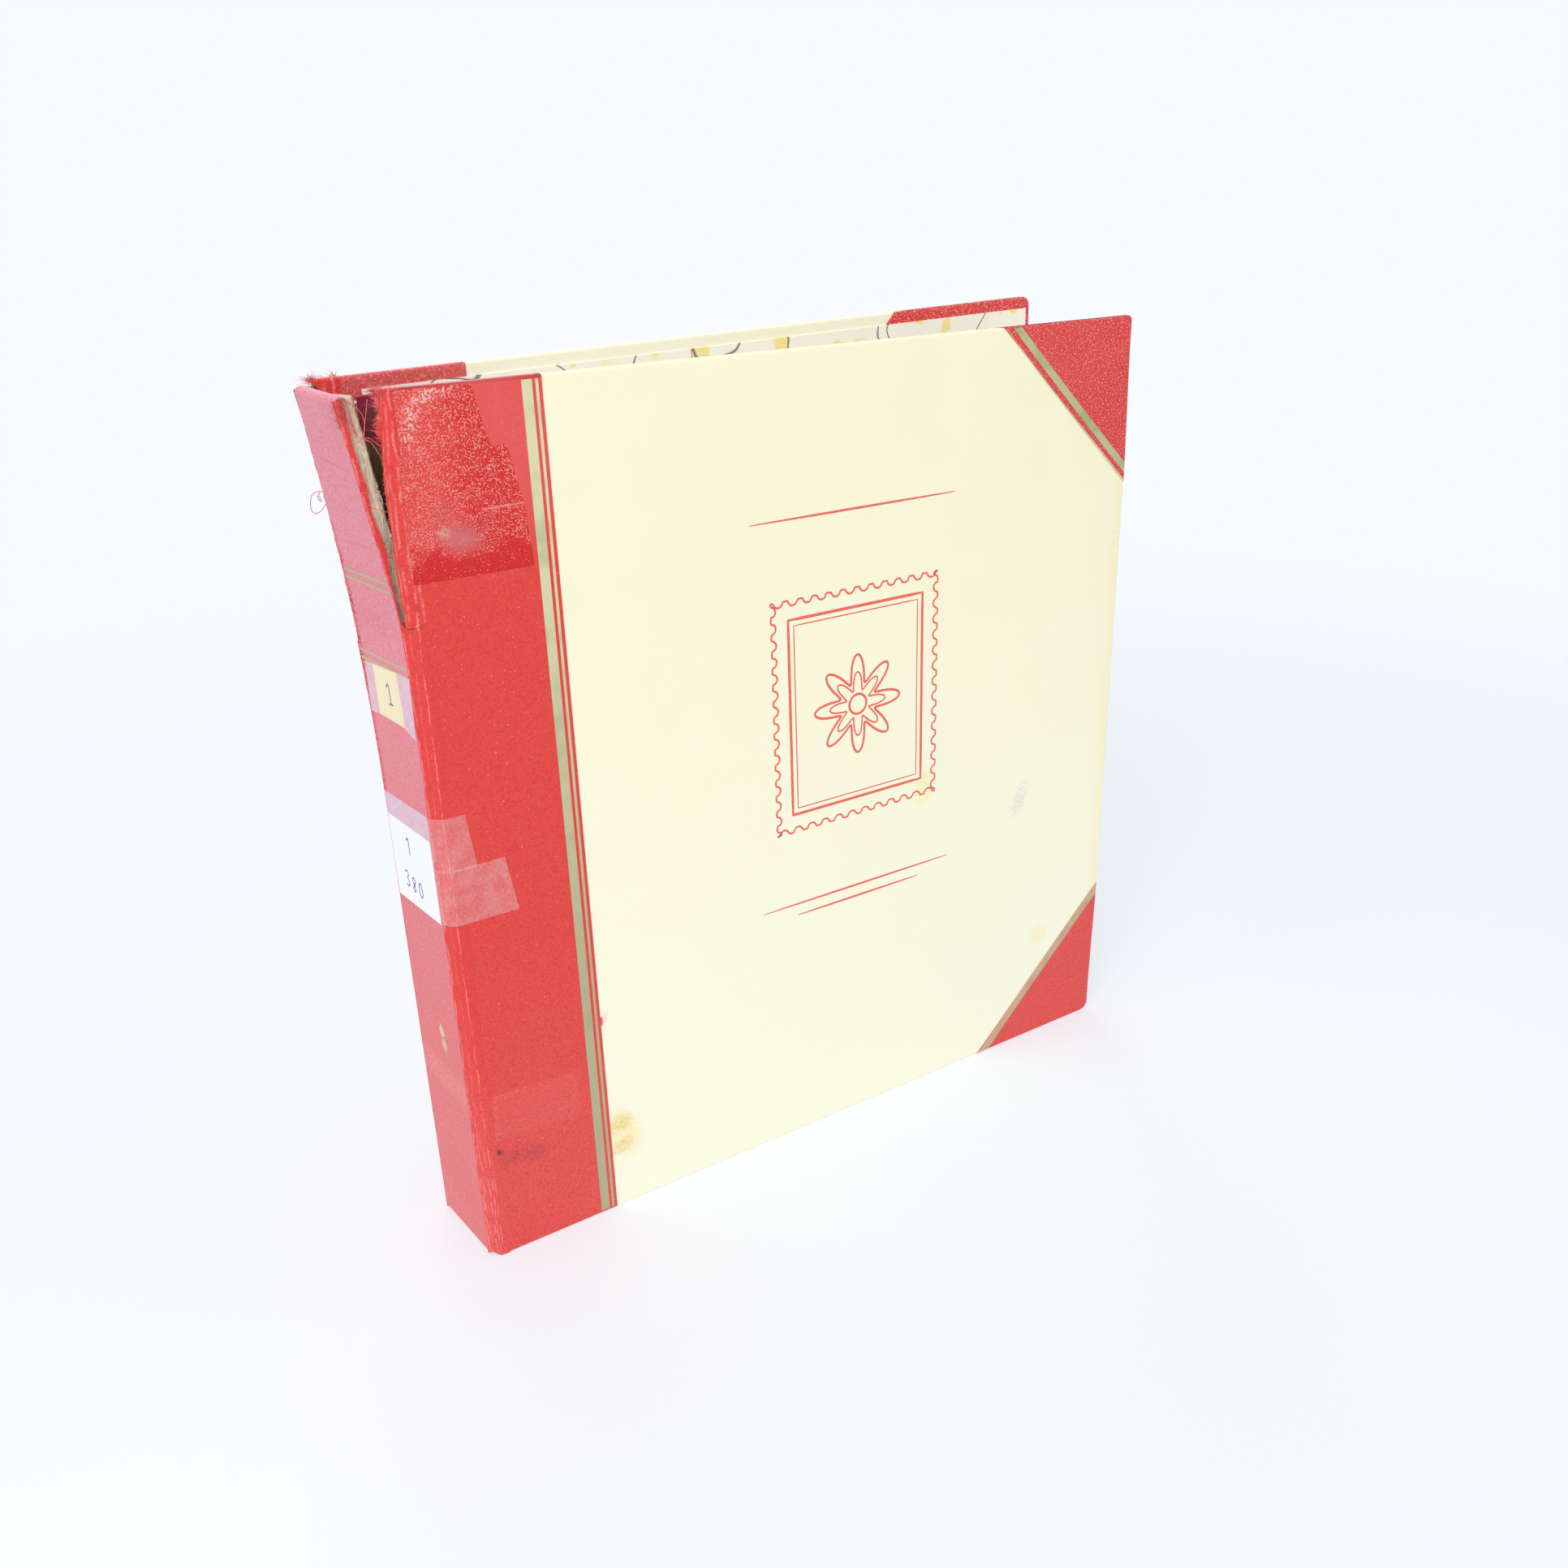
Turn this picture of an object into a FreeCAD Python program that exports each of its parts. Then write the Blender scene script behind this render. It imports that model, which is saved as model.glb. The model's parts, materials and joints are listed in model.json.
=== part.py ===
import FreeCAD
import Part
import Sketcher

import math
import os

# Stamp album: a half-bound case with a bent, partly torn spine, and a block of leaves held by
# three screw posts between two flanges. It stands on its tail with the covers slightly open.
#
# Every form is built in the bench position: the case square and closed, X from the joints towards
# the fore edge, Y from the front cover towards the back cover, Z up, the hinge lines at X = 0 and
# the outer face of the front cover at Y = 0. The nodes then take the forms to their places in the
# standing album, where +X halves the angle between the covers.

DRIVING_SIZES = {
    # Case
    "cover_height": 320.0,
    "cover_width": 299.1,
    "case_depth": 43.8,
    "board_thickness": 2.6,
    "board_corner_radius": 3.0,
    "leather_thickness": 0.5,
    "paper_thickness": 0.3,
    "quarter_width": 45.5,
    "head_corner_leg": 65.8,
    "tail_corner_leg": 68.2,
    "turn_in": 15.0,
    # Linings of the covers
    "pastedown_thickness": 0.25,
    "pastedown_edge_margin": 4.5,
    "pastedown_fore_margin": 2.5,
    "hinge_cloth_width": 10.5,
    "hinge_cloth_thickness": 0.3,
    # Joints between the spine and the covers
    "joint_radius": 3.4,
    "joint_clearance": 0.3,
    "joint_wrap_angle": 150.0,
    "front_tear_height": 246.0,
    "back_tear_height": 232.0,
    "tear_rise": 9.0,
    # Spine
    "spine_board_thickness": 3.2,
    "spine_board_setback": 2.7,
    "spine_length": 319.0,
    "spine_bend_start": 236.0,
    "spine_bend_radius": 160.0,
    "front_bend_angle": 9.0,
    "back_bend_angle": 7.6,
    "spine_turn_in": 11.0,
    "lining_thickness": 0.3,
    "lining_foot": 14.0,
    "lining_height": 214.0,
    "lining_arm": 9.0,
    # Labels on the spine
    "label_thickness": 0.15,
    "upper_label_width": 18.4,
    "upper_label_height": 19.0,
    "upper_label_foot": 211.8,
    "upper_label_shift": 0.1,
    "lower_label_width": 34.0,
    "lower_label_height": 32.0,
    "lower_label_foot": 141.5,
    "lower_label_shift": 0.15,
    # Leaf block
    "block_setback": 5.0,
    "block_gap": 8.0,
    "flange_thickness": 2.0,
    "flange_width": 24.0,
    "flange_foot": 6.0,
    "flange_height": 308.0,
    "guard_width": 28.0,
    "guard_margin": 2.0,
    "leaf_count": 10.0,
    "leaf_thickness": 0.35,
    "leaf_width": 256.0,
    "leaf_height": 300.0,
    "leaf_foot": 8.0,
    "leaf_hinge_clearance": 0.3,
    # Screw posts
    "post_count": 3.0,
    "post_spacing": 108.0,
    "post_inset": 15.5,
    "post_radius": 2.4,
    "post_hole_clearance": 0.1,
    "post_end_setback": 1.0,
    "head_radius": 5.5,
    "head_thickness": 1.4,
    "screw_radius": 1.5,
    "screw_length": 13.0,
    "bore_clearance": 0.05,
    "bore_spare_depth": 2.0,
    "slot_width": 1.2,
    "slot_depth": 0.7,
    # How the album stands, in degrees from square
    "front_lean": 5.6,
    "back_lean": 2.8,
    "back_slip": 0.94,
}

SHEET_NAME = "sizes"
CUT_MARGIN = 1.0

document = FreeCAD.newDocument("stamp_album")
sheet = document.addObject("Spreadsheet::Sheet", SHEET_NAME)


class Size:
    """A number that carries the sheet formula it comes from."""

    def __init__(self, number, formula):
        self.number = number
        self.formula = formula

    def __add__(self, other):
        other = as_size(other)
        return Size(self.number + other.number, f"({self.formula} + {other.formula})")

    def __radd__(self, other):
        return as_size(other) + self

    def __sub__(self, other):
        other = as_size(other)
        return Size(self.number - other.number, f"({self.formula} - {other.formula})")

    def __rsub__(self, other):
        return as_size(other) - self

    def __mul__(self, other):
        other = as_size(other)
        return Size(self.number * other.number, f"({self.formula} * {other.formula})")

    def __rmul__(self, other):
        return as_size(other) * self

    def __truediv__(self, other):
        other = as_size(other)
        return Size(self.number / other.number, f"({self.formula} / {other.formula})")

    def __neg__(self):
        return Size(-self.number, f"(0 - {self.formula})")


def as_size(value):
    """Turns a plain number into a Size, and leaves a Size as it is."""
    return value if isinstance(value, Size) else Size(float(value), f"({value})")


def sine(angle):
    """Sine of an angle in degrees."""
    return Size(math.sin(math.radians(angle.number)), f"sin({angle.formula} * 1 deg)")


def cosine(angle):
    """Cosine of an angle in degrees."""
    return Size(math.cos(math.radians(angle.number)), f"cos({angle.formula} * 1 deg)")


def fill_sheet():
    """Writes each driving size to the sheet, with its name as alias, and returns them as Sizes."""
    sizes = {}
    for row, (name, number) in enumerate(DRIVING_SIZES.items(), start=1):
        sheet.set(f"A{row}", name)
        sheet.set(f"B{row}", str(number))
        sheet.setAlias(f"B{row}", name)
        sizes[name] = Size(number, f"{SHEET_NAME}.{name}")
    document.recompute()
    return sizes


size = fill_sheet()

# Sizes worked out from the driving ones
HEIGHT = size["cover_height"]
DEPTH = size["case_depth"]
LEATHER = size["leather_thickness"]
PAPER = size["paper_thickness"]
BOARD = size["board_thickness"]
JOINT_RADIUS = size["joint_radius"]

BOARD_INNER = LEATHER + BOARD
COVER_THICKNESS = BOARD_INNER + LEATHER
PAPER_DROP = LEATHER - PAPER
HINGE_EDGE = JOINT_RADIUS + size["joint_clearance"]
FORE_EDGE = HINGE_EDGE + size["cover_width"]
QUARTER_EDGE = HINGE_EDGE + size["quarter_width"]

SPINE_OUTER = -JOINT_RADIUS
SPINE_INNER = SPINE_OUTER + LEATHER + size["spine_board_thickness"]
SPINE_FRONT = JOINT_RADIUS + size["spine_board_setback"]
SPINE_BACK = DEPTH - SPINE_FRONT

FLANGE_FRONT = size["block_gap"]
FLANGE_BACK = DEPTH - FLANGE_FRONT
STACK_FRONT = FLANGE_FRONT + size["flange_thickness"]
STACK_BACK = FLANGE_BACK - size["flange_thickness"]
LEAF_COUNT = int(size["leaf_count"].number)
GUARD_THICKNESS = (STACK_BACK - STACK_FRONT) / size["leaf_count"]
GUARD_EDGE = size["block_setback"] + size["guard_width"]
LEAF_HINGE = GUARD_EDGE + size["leaf_hinge_clearance"] + size["leaf_thickness"] / 2

POST_COUNT = int(size["post_count"].number)
POST_X = size["block_setback"] + size["post_inset"]
POST_HOLE_RADIUS = size["post_radius"] + size["post_hole_clearance"]
POST_NAMES = ("tail", "middle", "head")


class Point:
    """A corner of an outline, in the two directions of its sketch."""

    def __init__(self, across, up):
        self.across = as_size(across)
        self.up = as_size(up)


class Bend:
    """A round stretch between two corners of an outline."""

    def __init__(self, across, up, radius, counter_clockwise=True):
        self.centre = Point(across, up)
        self.radius = as_size(radius)
        self.counter_clockwise = counter_clockwise

    def angle_to(self, point):
        """Angle in radians from the centre to a corner."""
        rise = point.up.number - self.centre.up.number
        run = point.across.number - self.centre.across.number
        return math.atan2(rise, run)

    def steady_direction(self, point):
        """The coordinate that fixes a corner on this circle without touching its edge."""
        run = abs(point.across.number - self.centre.across.number)
        rise = abs(point.up.number - self.centre.up.number)
        return "across" if run < rise else "up"


def hold_point(sketch, geometry, position, point, directions):
    """Ties a sketch point to the sheet along the given directions."""
    for direction in directions:
        kind = "DistanceX" if direction == "across" else "DistanceY"
        value = getattr(point, direction)
        rule = Sketcher.Constraint(kind, -1, 1, geometry, position, value.number)
        index = sketch.addConstraint(rule)
        sketch.setExpression(f"Constraints[{index}]", value.formula)


def hold_radius(sketch, geometry, radius):
    """Ties the radius of a circle or an arc to the sheet."""
    index = sketch.addConstraint(Sketcher.Constraint("Radius", geometry, radius.number))
    sketch.setExpression(f"Constraints[{index}]", radius.formula)


def add_outline(sketch, outline):
    """Draws a closed outline of Points, with a Bend between two Points where the edge is round."""
    points = [item for item in outline if isinstance(item, Point)]
    bends = {}
    for item in outline:
        if isinstance(item, Point):
            last_point = item
        else:
            bends[points.index(last_point)] = item
    ends = []
    for index, point in enumerate(points):
        other = points[(index + 1) % len(points)]
        start_vector = FreeCAD.Vector(point.across.number, point.up.number, 0)
        end_vector = FreeCAD.Vector(other.across.number, other.up.number, 0)
        bend = bends.get(index)
        if bend is None:
            edge = sketch.addGeometry(Part.LineSegment(start_vector, end_vector), False)
            ends.append((edge, 1, 2))
            continue
        centre = FreeCAD.Vector(bend.centre.across.number, bend.centre.up.number, 0)
        circle = Part.Circle(centre, FreeCAD.Vector(0, 0, 1), bend.radius.number)
        angles = (bend.angle_to(point), bend.angle_to(other))
        if bend.counter_clockwise:
            edge = sketch.addGeometry(Part.ArcOfCircle(circle, *angles), False)
            ends.append((edge, 1, 2))
        else:
            edge = sketch.addGeometry(Part.ArcOfCircle(circle, *reversed(angles)), False)
            ends.append((edge, 2, 1))
        hold_point(sketch, edge, 3, bend.centre, ("across", "up"))
        hold_radius(sketch, edge, bend.radius)
    for index, point in enumerate(points):
        edge, start, _ = ends[index]
        previous_edge, _, previous_end = ends[index - 1]
        meeting = Sketcher.Constraint("Coincident", previous_edge, previous_end, edge, start)
        sketch.addConstraint(meeting)
        bend = bends.get(index) or bends.get((index - 1) % len(points))
        directions = [bend.steady_direction(point)] if bend else ["across", "up"]
        hold_point(sketch, edge, start, point, directions)


def add_hole(sketch, point, radius):
    """Draws a round hole in a sketch."""
    centre = FreeCAD.Vector(point.across.number, point.up.number, 0)
    circle = Part.Circle(centre, FreeCAD.Vector(0, 0, 1), radius.number)
    hole = sketch.addGeometry(circle, False)
    hold_point(sketch, hole, 3, point, ("across", "up"))
    hold_radius(sketch, hole, radius)


def new_sketch(body, name, plane, distance):
    """A sketch on one of the body's own planes, moved along the plane's normal."""
    sketch = body.newObject("Sketcher::SketchObject", name)
    origin_plane = next(o for o in body.Origin.OriginFeatures if o.Role == plane)
    sketch.AttachmentSupport = (origin_plane, [""])
    sketch.MapMode = "FlatFace"
    sketch.setExpression("AttachmentOffset.Base.z", as_size(distance).formula)
    return sketch


def padded(name, plane, outline, start, end, holes=()):
    """A body padded from an outline between two places along the axis that the plane faces.

    On XY_Plane an outline runs in X and Y, on XZ_Plane in X and Z, on YZ_Plane in Y and Z.
    """
    start, end = as_size(start), as_size(end)
    faces_back = plane == "XZ_Plane"
    body = document.addObject("PartDesign::Body", name)
    sketch = new_sketch(body, f"{name}_outline", plane, -start if faces_back else start)
    add_outline(sketch, outline)
    for centre, radius in holes:
        add_hole(sketch, centre, radius)
    pad = body.newObject("PartDesign::Pad", f"{name}_pad")
    pad.Profile = sketch
    pad.Reversed = faces_back
    pad.setExpression("Length", (end - start).formula)
    body.Tip = pad
    return body


def turned(name, outline):
    """A body turned about the Y axis from an outline in X, as radius, and Y."""
    body = document.addObject("PartDesign::Body", name)
    sketch = new_sketch(body, f"{name}_outline", "XY_Plane", 0)
    add_outline(sketch, outline)
    turn = body.newObject("PartDesign::Revolution", f"{name}_turn")
    turn.Profile = sketch
    turn.ReferenceAxis = (sketch, ["V_Axis"])
    turn.Angle = 360.0
    body.Tip = turn
    return body


def rectangle(low_across, high_across, low_up, high_up):
    """The outline of a rectangle."""
    return [
        Point(low_across, low_up),
        Point(high_across, low_up),
        Point(high_across, high_up),
        Point(low_across, high_up),
    ]


def box(name, x_range, y_range, z_range):
    """A plain block between two places along each axis."""
    block = document.addObject("Part::Box", name)
    lengths = ("Length", "Width", "Height")
    for axis, length, (low, high) in zip("xyz", lengths, (x_range, y_range, z_range)):
        low, high = as_size(low), as_size(high)
        block.setExpression(length, (high - low).formula)
        block.setExpression(f"Placement.Base.{axis}", low.formula)
    return block


def cut(name, base, *tools):
    """The base form with each tool taken out of it in turn."""
    for number, tool in enumerate(tools, start=1):
        result = document.addObject("Part::Cut", name if tool is tools[-1] else f"{name}_{number}")
        result.Base = base
        result.Tool = tool
        base = result
    return base


def common(name, base, tool):
    """What two forms share."""
    result = document.addObject("Part::Common", name)
    result.Base = base
    result.Tool = tool
    return result


def copies(name, form, axis, places):
    """Separate copies of one form, moved along an axis to the given places."""
    moved = []
    for number, place in enumerate(places, start=1):
        copy = document.addObject("Part::Compound", f"{name}_{number}")
        copy.Links = [form]
        copy.setExpression(f"Placement.Base.{axis}", place.formula)
        moved.append(copy)
    row = document.addObject("Part::Compound", f"{name}_row")
    row.Links = moved
    return row


# Placements in the standing album

FRONT_HINGE = FreeCAD.Vector(0, JOINT_RADIUS.number, 0)
BACK_HINGE = FreeCAD.Vector(0, (DEPTH - JOINT_RADIUS).number, 0)
UPRIGHT = FreeCAD.Vector(0, 0, 1)
SLIP_AXIS = FreeCAD.Vector(0, -1, 0)
SLIP_POINT = FreeCAD.Vector(0, 0, (size["back_tear_height"] + size["tear_rise"]).number)
SKEW_ANGLE = (size["front_lean"].number + size["back_lean"].number) / 2


def turned_about(point, degrees):
    """A placement that turns a form about the upright line through a point."""
    return FreeCAD.Placement(FreeCAD.Vector(), FreeCAD.Rotation(UPRIGHT, degrees), point)


def slipped_about(point, degrees):
    """A placement that turns a cover in its own plane about a point, lifting its fore edge."""
    return FreeCAD.Placement(FreeCAD.Vector(), FreeCAD.Rotation(SLIP_AXIS, degrees), point)


def leaf_lean(number):
    """Rest lean of a leaf in degrees: the leaves share out the angle between the covers."""
    share = (LEAF_COUNT + 1 - number) / (LEAF_COUNT + 1)
    back = size["back_lean"].number
    return back + (size["front_lean"].number - back) * share


def leaf_hinge_y(number):
    """Place of a leaf's hinge line across the block, in the middle of its guard."""
    return STACK_FRONT + GUARD_THICKNESS * (number - 0.5)


def leaf_hinge(number):
    """The point where a leaf's hinge line meets the table."""
    return FreeCAD.Vector(LEAF_HINGE.number, leaf_hinge_y(number).number, 0)


def post_height(number):
    """Height of a post's axis, counted from the tail, about the middle of the flanges."""
    middle = size["flange_foot"] + size["flange_height"] / 2
    return middle + size["post_spacing"] * (number - (size["post_count"] - 1) / 2)


BODY_PLACES = {
    "spine": FreeCAD.Placement(),
    "front_cover": turned_about(FRONT_HINGE, -size["front_lean"].number),
    "back_cover": turned_about(BACK_HINGE, -size["back_lean"].number)
    * slipped_about(SLIP_POINT, size["back_slip"].number),
}
for leaf_number in range(1, LEAF_COUNT + 1):
    swing = turned_about(leaf_hinge(leaf_number), -leaf_lean(leaf_number))
    BODY_PLACES[f"leaf_{leaf_number:02d}"] = swing * FreeCAD.Placement(
        leaf_hinge(leaf_number), FreeCAD.Rotation()
    )
for post_number, post_name in enumerate(POST_NAMES[:POST_COUNT]):
    BODY_PLACES[f"{post_name}_screw"] = FreeCAD.Placement(
        FreeCAD.Vector(POST_X.number, 0, post_height(post_number).number), FreeCAD.Rotation()
    )

nodes = {}


def node(label, form, body):
    """Names a finished form and says which moving body carries it."""
    piece = document.addObject("Part::Compound", f"{label}_node")
    piece.Label = label
    piece.Links = [form]
    nodes[label] = (piece, body)


# Covers


def rounded_slab(name, near, far, low, high, radius, y_range):
    """A cover-shaped slab whose two fore-edge corners are round."""
    outline = [
        Point(near, low),
        Point(far - radius, low),
        Bend(far - radius, low + radius, radius),
        Point(far, low + radius),
        Point(far, high - radius),
        Bend(far - radius, high - radius, radius),
        Point(far - radius, high),
        Point(near, high),
    ]
    return padded(name, "XZ_Plane", outline, *y_range)


def corner_wedge(name, end, y_range):
    """The three-cornered prism that marks out a leather corner, past the edges of the cover."""
    at_head = end == "head"
    long_leg = size[f"{end}_corner_leg"] + CUT_MARGIN
    outside = FORE_EDGE + CUT_MARGIN
    inside = FORE_EDGE - long_leg
    tip = HEIGHT + CUT_MARGIN if at_head else as_size(-CUT_MARGIN)
    foot = HEIGHT - long_leg if at_head else long_leg
    outline = [Point(inside, tip), Point(outside, tip), Point(outside, foot)]
    return padded(name, "XZ_Plane", outline, *y_range)


def build_cover(side):
    """One cover: board, leather quarter strip and corners, side paper, hinge cloth, pastedown."""
    is_front = side == "front"
    body = f"{side}_cover"

    def across(outer, inner):
        """Two depths counted from the outer face of this cover, as a range along Y."""
        outer, inner = as_size(outer), as_size(inner)
        return (outer, inner) if is_front else (DEPTH - inner, DEPTH - outer)

    def depth(value):
        """One depth counted from the outer face of this cover, as a place along Y."""
        return as_size(value) if is_front else DEPTH - value

    past_cover = across(-CUT_MARGIN, COVER_THICKNESS + CUT_MARGIN)
    board_radius = size["board_corner_radius"]

    board = rounded_slab(
        f"{side}_board_form",
        HINGE_EDGE,
        FORE_EDGE - LEATHER,
        LEATHER,
        HEIGHT - LEATHER,
        board_radius,
        across(LEATHER, BOARD_INNER),
    )

    turn_in = size["turn_in"]
    wrap = [
        Point(depth(0), 0),
        Point(depth(COVER_THICKNESS), 0),
        Point(depth(COVER_THICKNESS), turn_in),
        Point(depth(BOARD_INNER), turn_in),
        Point(depth(BOARD_INNER), LEATHER),
        Point(depth(LEATHER), LEATHER),
        Point(depth(LEATHER), HEIGHT - LEATHER),
        Point(depth(BOARD_INNER), HEIGHT - LEATHER),
        Point(depth(BOARD_INNER), HEIGHT - turn_in),
        Point(depth(COVER_THICKNESS), HEIGHT - turn_in),
        Point(depth(COVER_THICKNESS), HEIGHT),
        Point(depth(0), HEIGHT),
    ]
    quarter = padded(f"{side}_quarter_form", "YZ_Plane", wrap, HINGE_EDGE, QUARTER_EDGE)

    window = box(
        f"{side}_turn_in_window",
        (HINGE_EDGE, FORE_EDGE - turn_in),
        across(BOARD_INNER, COVER_THICKNESS + CUT_MARGIN),
        (turn_in, HEIGHT - turn_in),
    )
    leather_slab = rounded_slab(
        f"{side}_leather_slab",
        QUARTER_EDGE,
        FORE_EDGE,
        as_size(0),
        HEIGHT,
        board_radius + LEATHER,
        across(0, COVER_THICKNESS),
    )
    wedges = {}
    corners = {}
    for end in ("head", "tail"):
        wedges[end] = corner_wedge(f"{side}_{end}_wedge", end, past_cover)
        corner_block = common(f"{side}_{end}_corner_block", leather_slab, wedges[end])
        corners[end] = cut(f"{side}_{end}_corner_form", corner_block, board, window)

    paper_slab = box(
        f"{side}_paper_slab",
        (QUARTER_EDGE, FORE_EDGE - PAPER_DROP),
        across(PAPER_DROP, BOARD_INNER + PAPER),
        (PAPER_DROP, HEIGHT - PAPER_DROP),
    )
    side_paper = cut(
        f"{side}_side_paper_form", paper_slab, board, window, wedges["head"], wedges["tail"]
    )

    hinge_cloth = box(
        f"{side}_hinge_cloth_form",
        (HINGE_EDGE, HINGE_EDGE + size["hinge_cloth_width"]),
        across(BOARD_INNER, BOARD_INNER + size["hinge_cloth_thickness"]),
        (turn_in, HEIGHT - turn_in),
    )
    edge_margin = size["pastedown_edge_margin"]
    pastedown_block = box(
        f"{side}_pastedown_block",
        (HINGE_EDGE + size["hinge_cloth_width"], FORE_EDGE - size["pastedown_fore_margin"]),
        across(BOARD_INNER, COVER_THICKNESS + size["pastedown_thickness"]),
        (edge_margin, HEIGHT - edge_margin),
    )
    pastedown = cut(
        f"{side}_pastedown_form",
        pastedown_block,
        quarter,
        corners["head"],
        corners["tail"],
        side_paper,
    )

    node(f"{side}_board", board, body)
    node(f"{side}_quarter_leather", quarter, body)
    node(f"{side}_head_corner", corners["head"], body)
    node(f"{side}_tail_corner", corners["tail"], body)
    node(f"{side}_side_paper", side_paper, body)
    node(f"{side}_hinge_cloth", hinge_cloth, body)
    node(f"{side}_pastedown", pastedown, body)


# Spine


class SpineSection:
    """The upright section of the spine along one of its joints, where its head bends outwards."""

    def __init__(self, angle):
        self.angle = angle
        arc_length = size["spine_bend_radius"] * angle * (math.pi / 180)
        self.head = size["spine_length"] - size["spine_bend_start"] - arc_length

    def foot_of_bend(self, inset):
        """The corner where the bend starts, at a depth under the outer face."""
        return Point(SPINE_OUTER + inset, size["spine_bend_start"])

    def bend(self, inset, upwards):
        """The bend itself, at a depth under the outer face."""
        radius = size["spine_bend_radius"]
        centre = (SPINE_OUTER - radius, size["spine_bend_start"])
        return Bend(*centre, radius + inset, upwards)

    def above_bend(self, inset, rise):
        """A corner on the straight stretch above the bend, by its depth and its rise."""
        radius = size["spine_bend_radius"]
        run = (radius + inset) * cosine(self.angle) - rise * sine(self.angle)
        height = (radius + inset) * sine(self.angle) + rise * cosine(self.angle)
        return Point(SPINE_OUTER - radius + run, size["spine_bend_start"] + height)

    def board_outline(self):
        """The spine's board."""
        outer, inner = LEATHER, LEATHER + size["spine_board_thickness"]
        top = self.head - LEATHER
        return [
            Point(SPINE_OUTER + outer, LEATHER),
            Point(SPINE_OUTER + inner, LEATHER),
            self.foot_of_bend(inner),
            self.bend(inner, True),
            self.above_bend(inner, 0),
            self.above_bend(inner, top),
            self.above_bend(outer, top),
            self.above_bend(outer, 0),
            self.bend(outer, False),
            self.foot_of_bend(outer),
        ]

    def leather_outline(self):
        """The leather round the board, turned in over its head and tail."""
        board_depth = LEATHER + size["spine_board_thickness"]
        full_depth = board_depth + LEATHER
        turn_in = size["spine_turn_in"]
        top = self.head - LEATHER
        turned_down = self.head - turn_in
        return [
            Point(SPINE_OUTER, 0),
            Point(SPINE_OUTER + full_depth, 0),
            Point(SPINE_OUTER + full_depth, turn_in),
            Point(SPINE_OUTER + board_depth, turn_in),
            Point(SPINE_OUTER + board_depth, LEATHER),
            Point(SPINE_OUTER + LEATHER, LEATHER),
            self.foot_of_bend(LEATHER),
            self.bend(LEATHER, True),
            self.above_bend(LEATHER, 0),
            self.above_bend(LEATHER, top),
            self.above_bend(board_depth, top),
            self.above_bend(board_depth, turned_down),
            self.above_bend(full_depth, turned_down),
            self.above_bend(full_depth, self.head),
            self.above_bend(0, self.head),
            self.above_bend(0, 0),
            self.bend(0, False),
            self.foot_of_bend(0),
        ]


def lofted(name, front_outline, back_outline):
    """A body ruled across the spine, from its section at the front joint to that at the back."""
    body = document.addObject("PartDesign::Body", name)
    front = new_sketch(body, f"{name}_front", "XZ_Plane", -JOINT_RADIUS)
    add_outline(front, front_outline)
    back = new_sketch(body, f"{name}_back", "XZ_Plane", JOINT_RADIUS - DEPTH)
    add_outline(back, back_outline)
    loft = body.newObject("PartDesign::AdditiveLoft", f"{name}_loft")
    loft.Profile = front
    loft.Sections = [back]
    loft.Ruled = True
    body.Tip = loft
    return body


def build_spine_covering():
    """The spine's board and its leather, torn along both joints, with the bent head twisted."""
    front = SpineSection(size["front_bend_angle"])
    back = SpineSection(size["back_bend_angle"])
    tear_reach = (SPINE_OUTER - 2 * size["turn_in"], SPINE_INNER + size["turn_in"])

    wide_board = lofted("spine_board_wide", front.board_outline(), back.board_outline())
    board_width = box(
        "spine_board_width", tear_reach, (SPINE_FRONT, SPINE_BACK), (0, size["spine_length"])
    )
    node("spine_board", common("spine_board_form", wide_board, board_width), "spine")

    whole = lofted("spine_leather_whole", front.leather_outline(), back.leather_outline())
    past_head = HEIGHT + 2 * CUT_MARGIN
    tears = []
    for side, outside, torn_edge in (
        ("front", JOINT_RADIUS - CUT_MARGIN, SPINE_FRONT),
        ("back", DEPTH - JOINT_RADIUS + CUT_MARGIN, SPINE_BACK),
    ):
        foot = size[f"{side}_tear_height"]
        outline = [
            Point(outside, foot),
            Point(torn_edge, foot + size["tear_rise"]),
            Point(torn_edge, past_head),
            Point(outside, past_head),
        ]
        tears.append(padded(f"{side}_tear", "YZ_Plane", outline, *tear_reach))
    node("spine_leather", cut("spine_leather_form", whole, *tears), "spine")


def build_joints():
    """The leather rolled round each hinge line, up to where the joint has torn."""
    wrap_end = size["joint_wrap_angle"]
    inner = JOINT_RADIUS - LEATHER
    for side, axis_y, sign in (("front", JOINT_RADIUS, 1), ("back", DEPTH - JOINT_RADIUS, -1)):

        def rim(radius):
            """The corner where a rolled face ends, near the edge of the cover."""
            return Point(-(radius * cosine(wrap_end)), axis_y - sign * radius * sine(wrap_end))

        outline = [
            Point(-JOINT_RADIUS, axis_y),
            Bend(0, axis_y, JOINT_RADIUS, sign > 0),
            rim(JOINT_RADIUS),
            rim(inner),
            Bend(0, axis_y, inner, sign < 0),
            Point(-inner, axis_y),
        ]
        top = size[f"{side}_tear_height"]
        node(f"{side}_joint", padded(f"{side}_joint_form", "XY_Plane", outline, 0, top), "spine")


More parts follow.
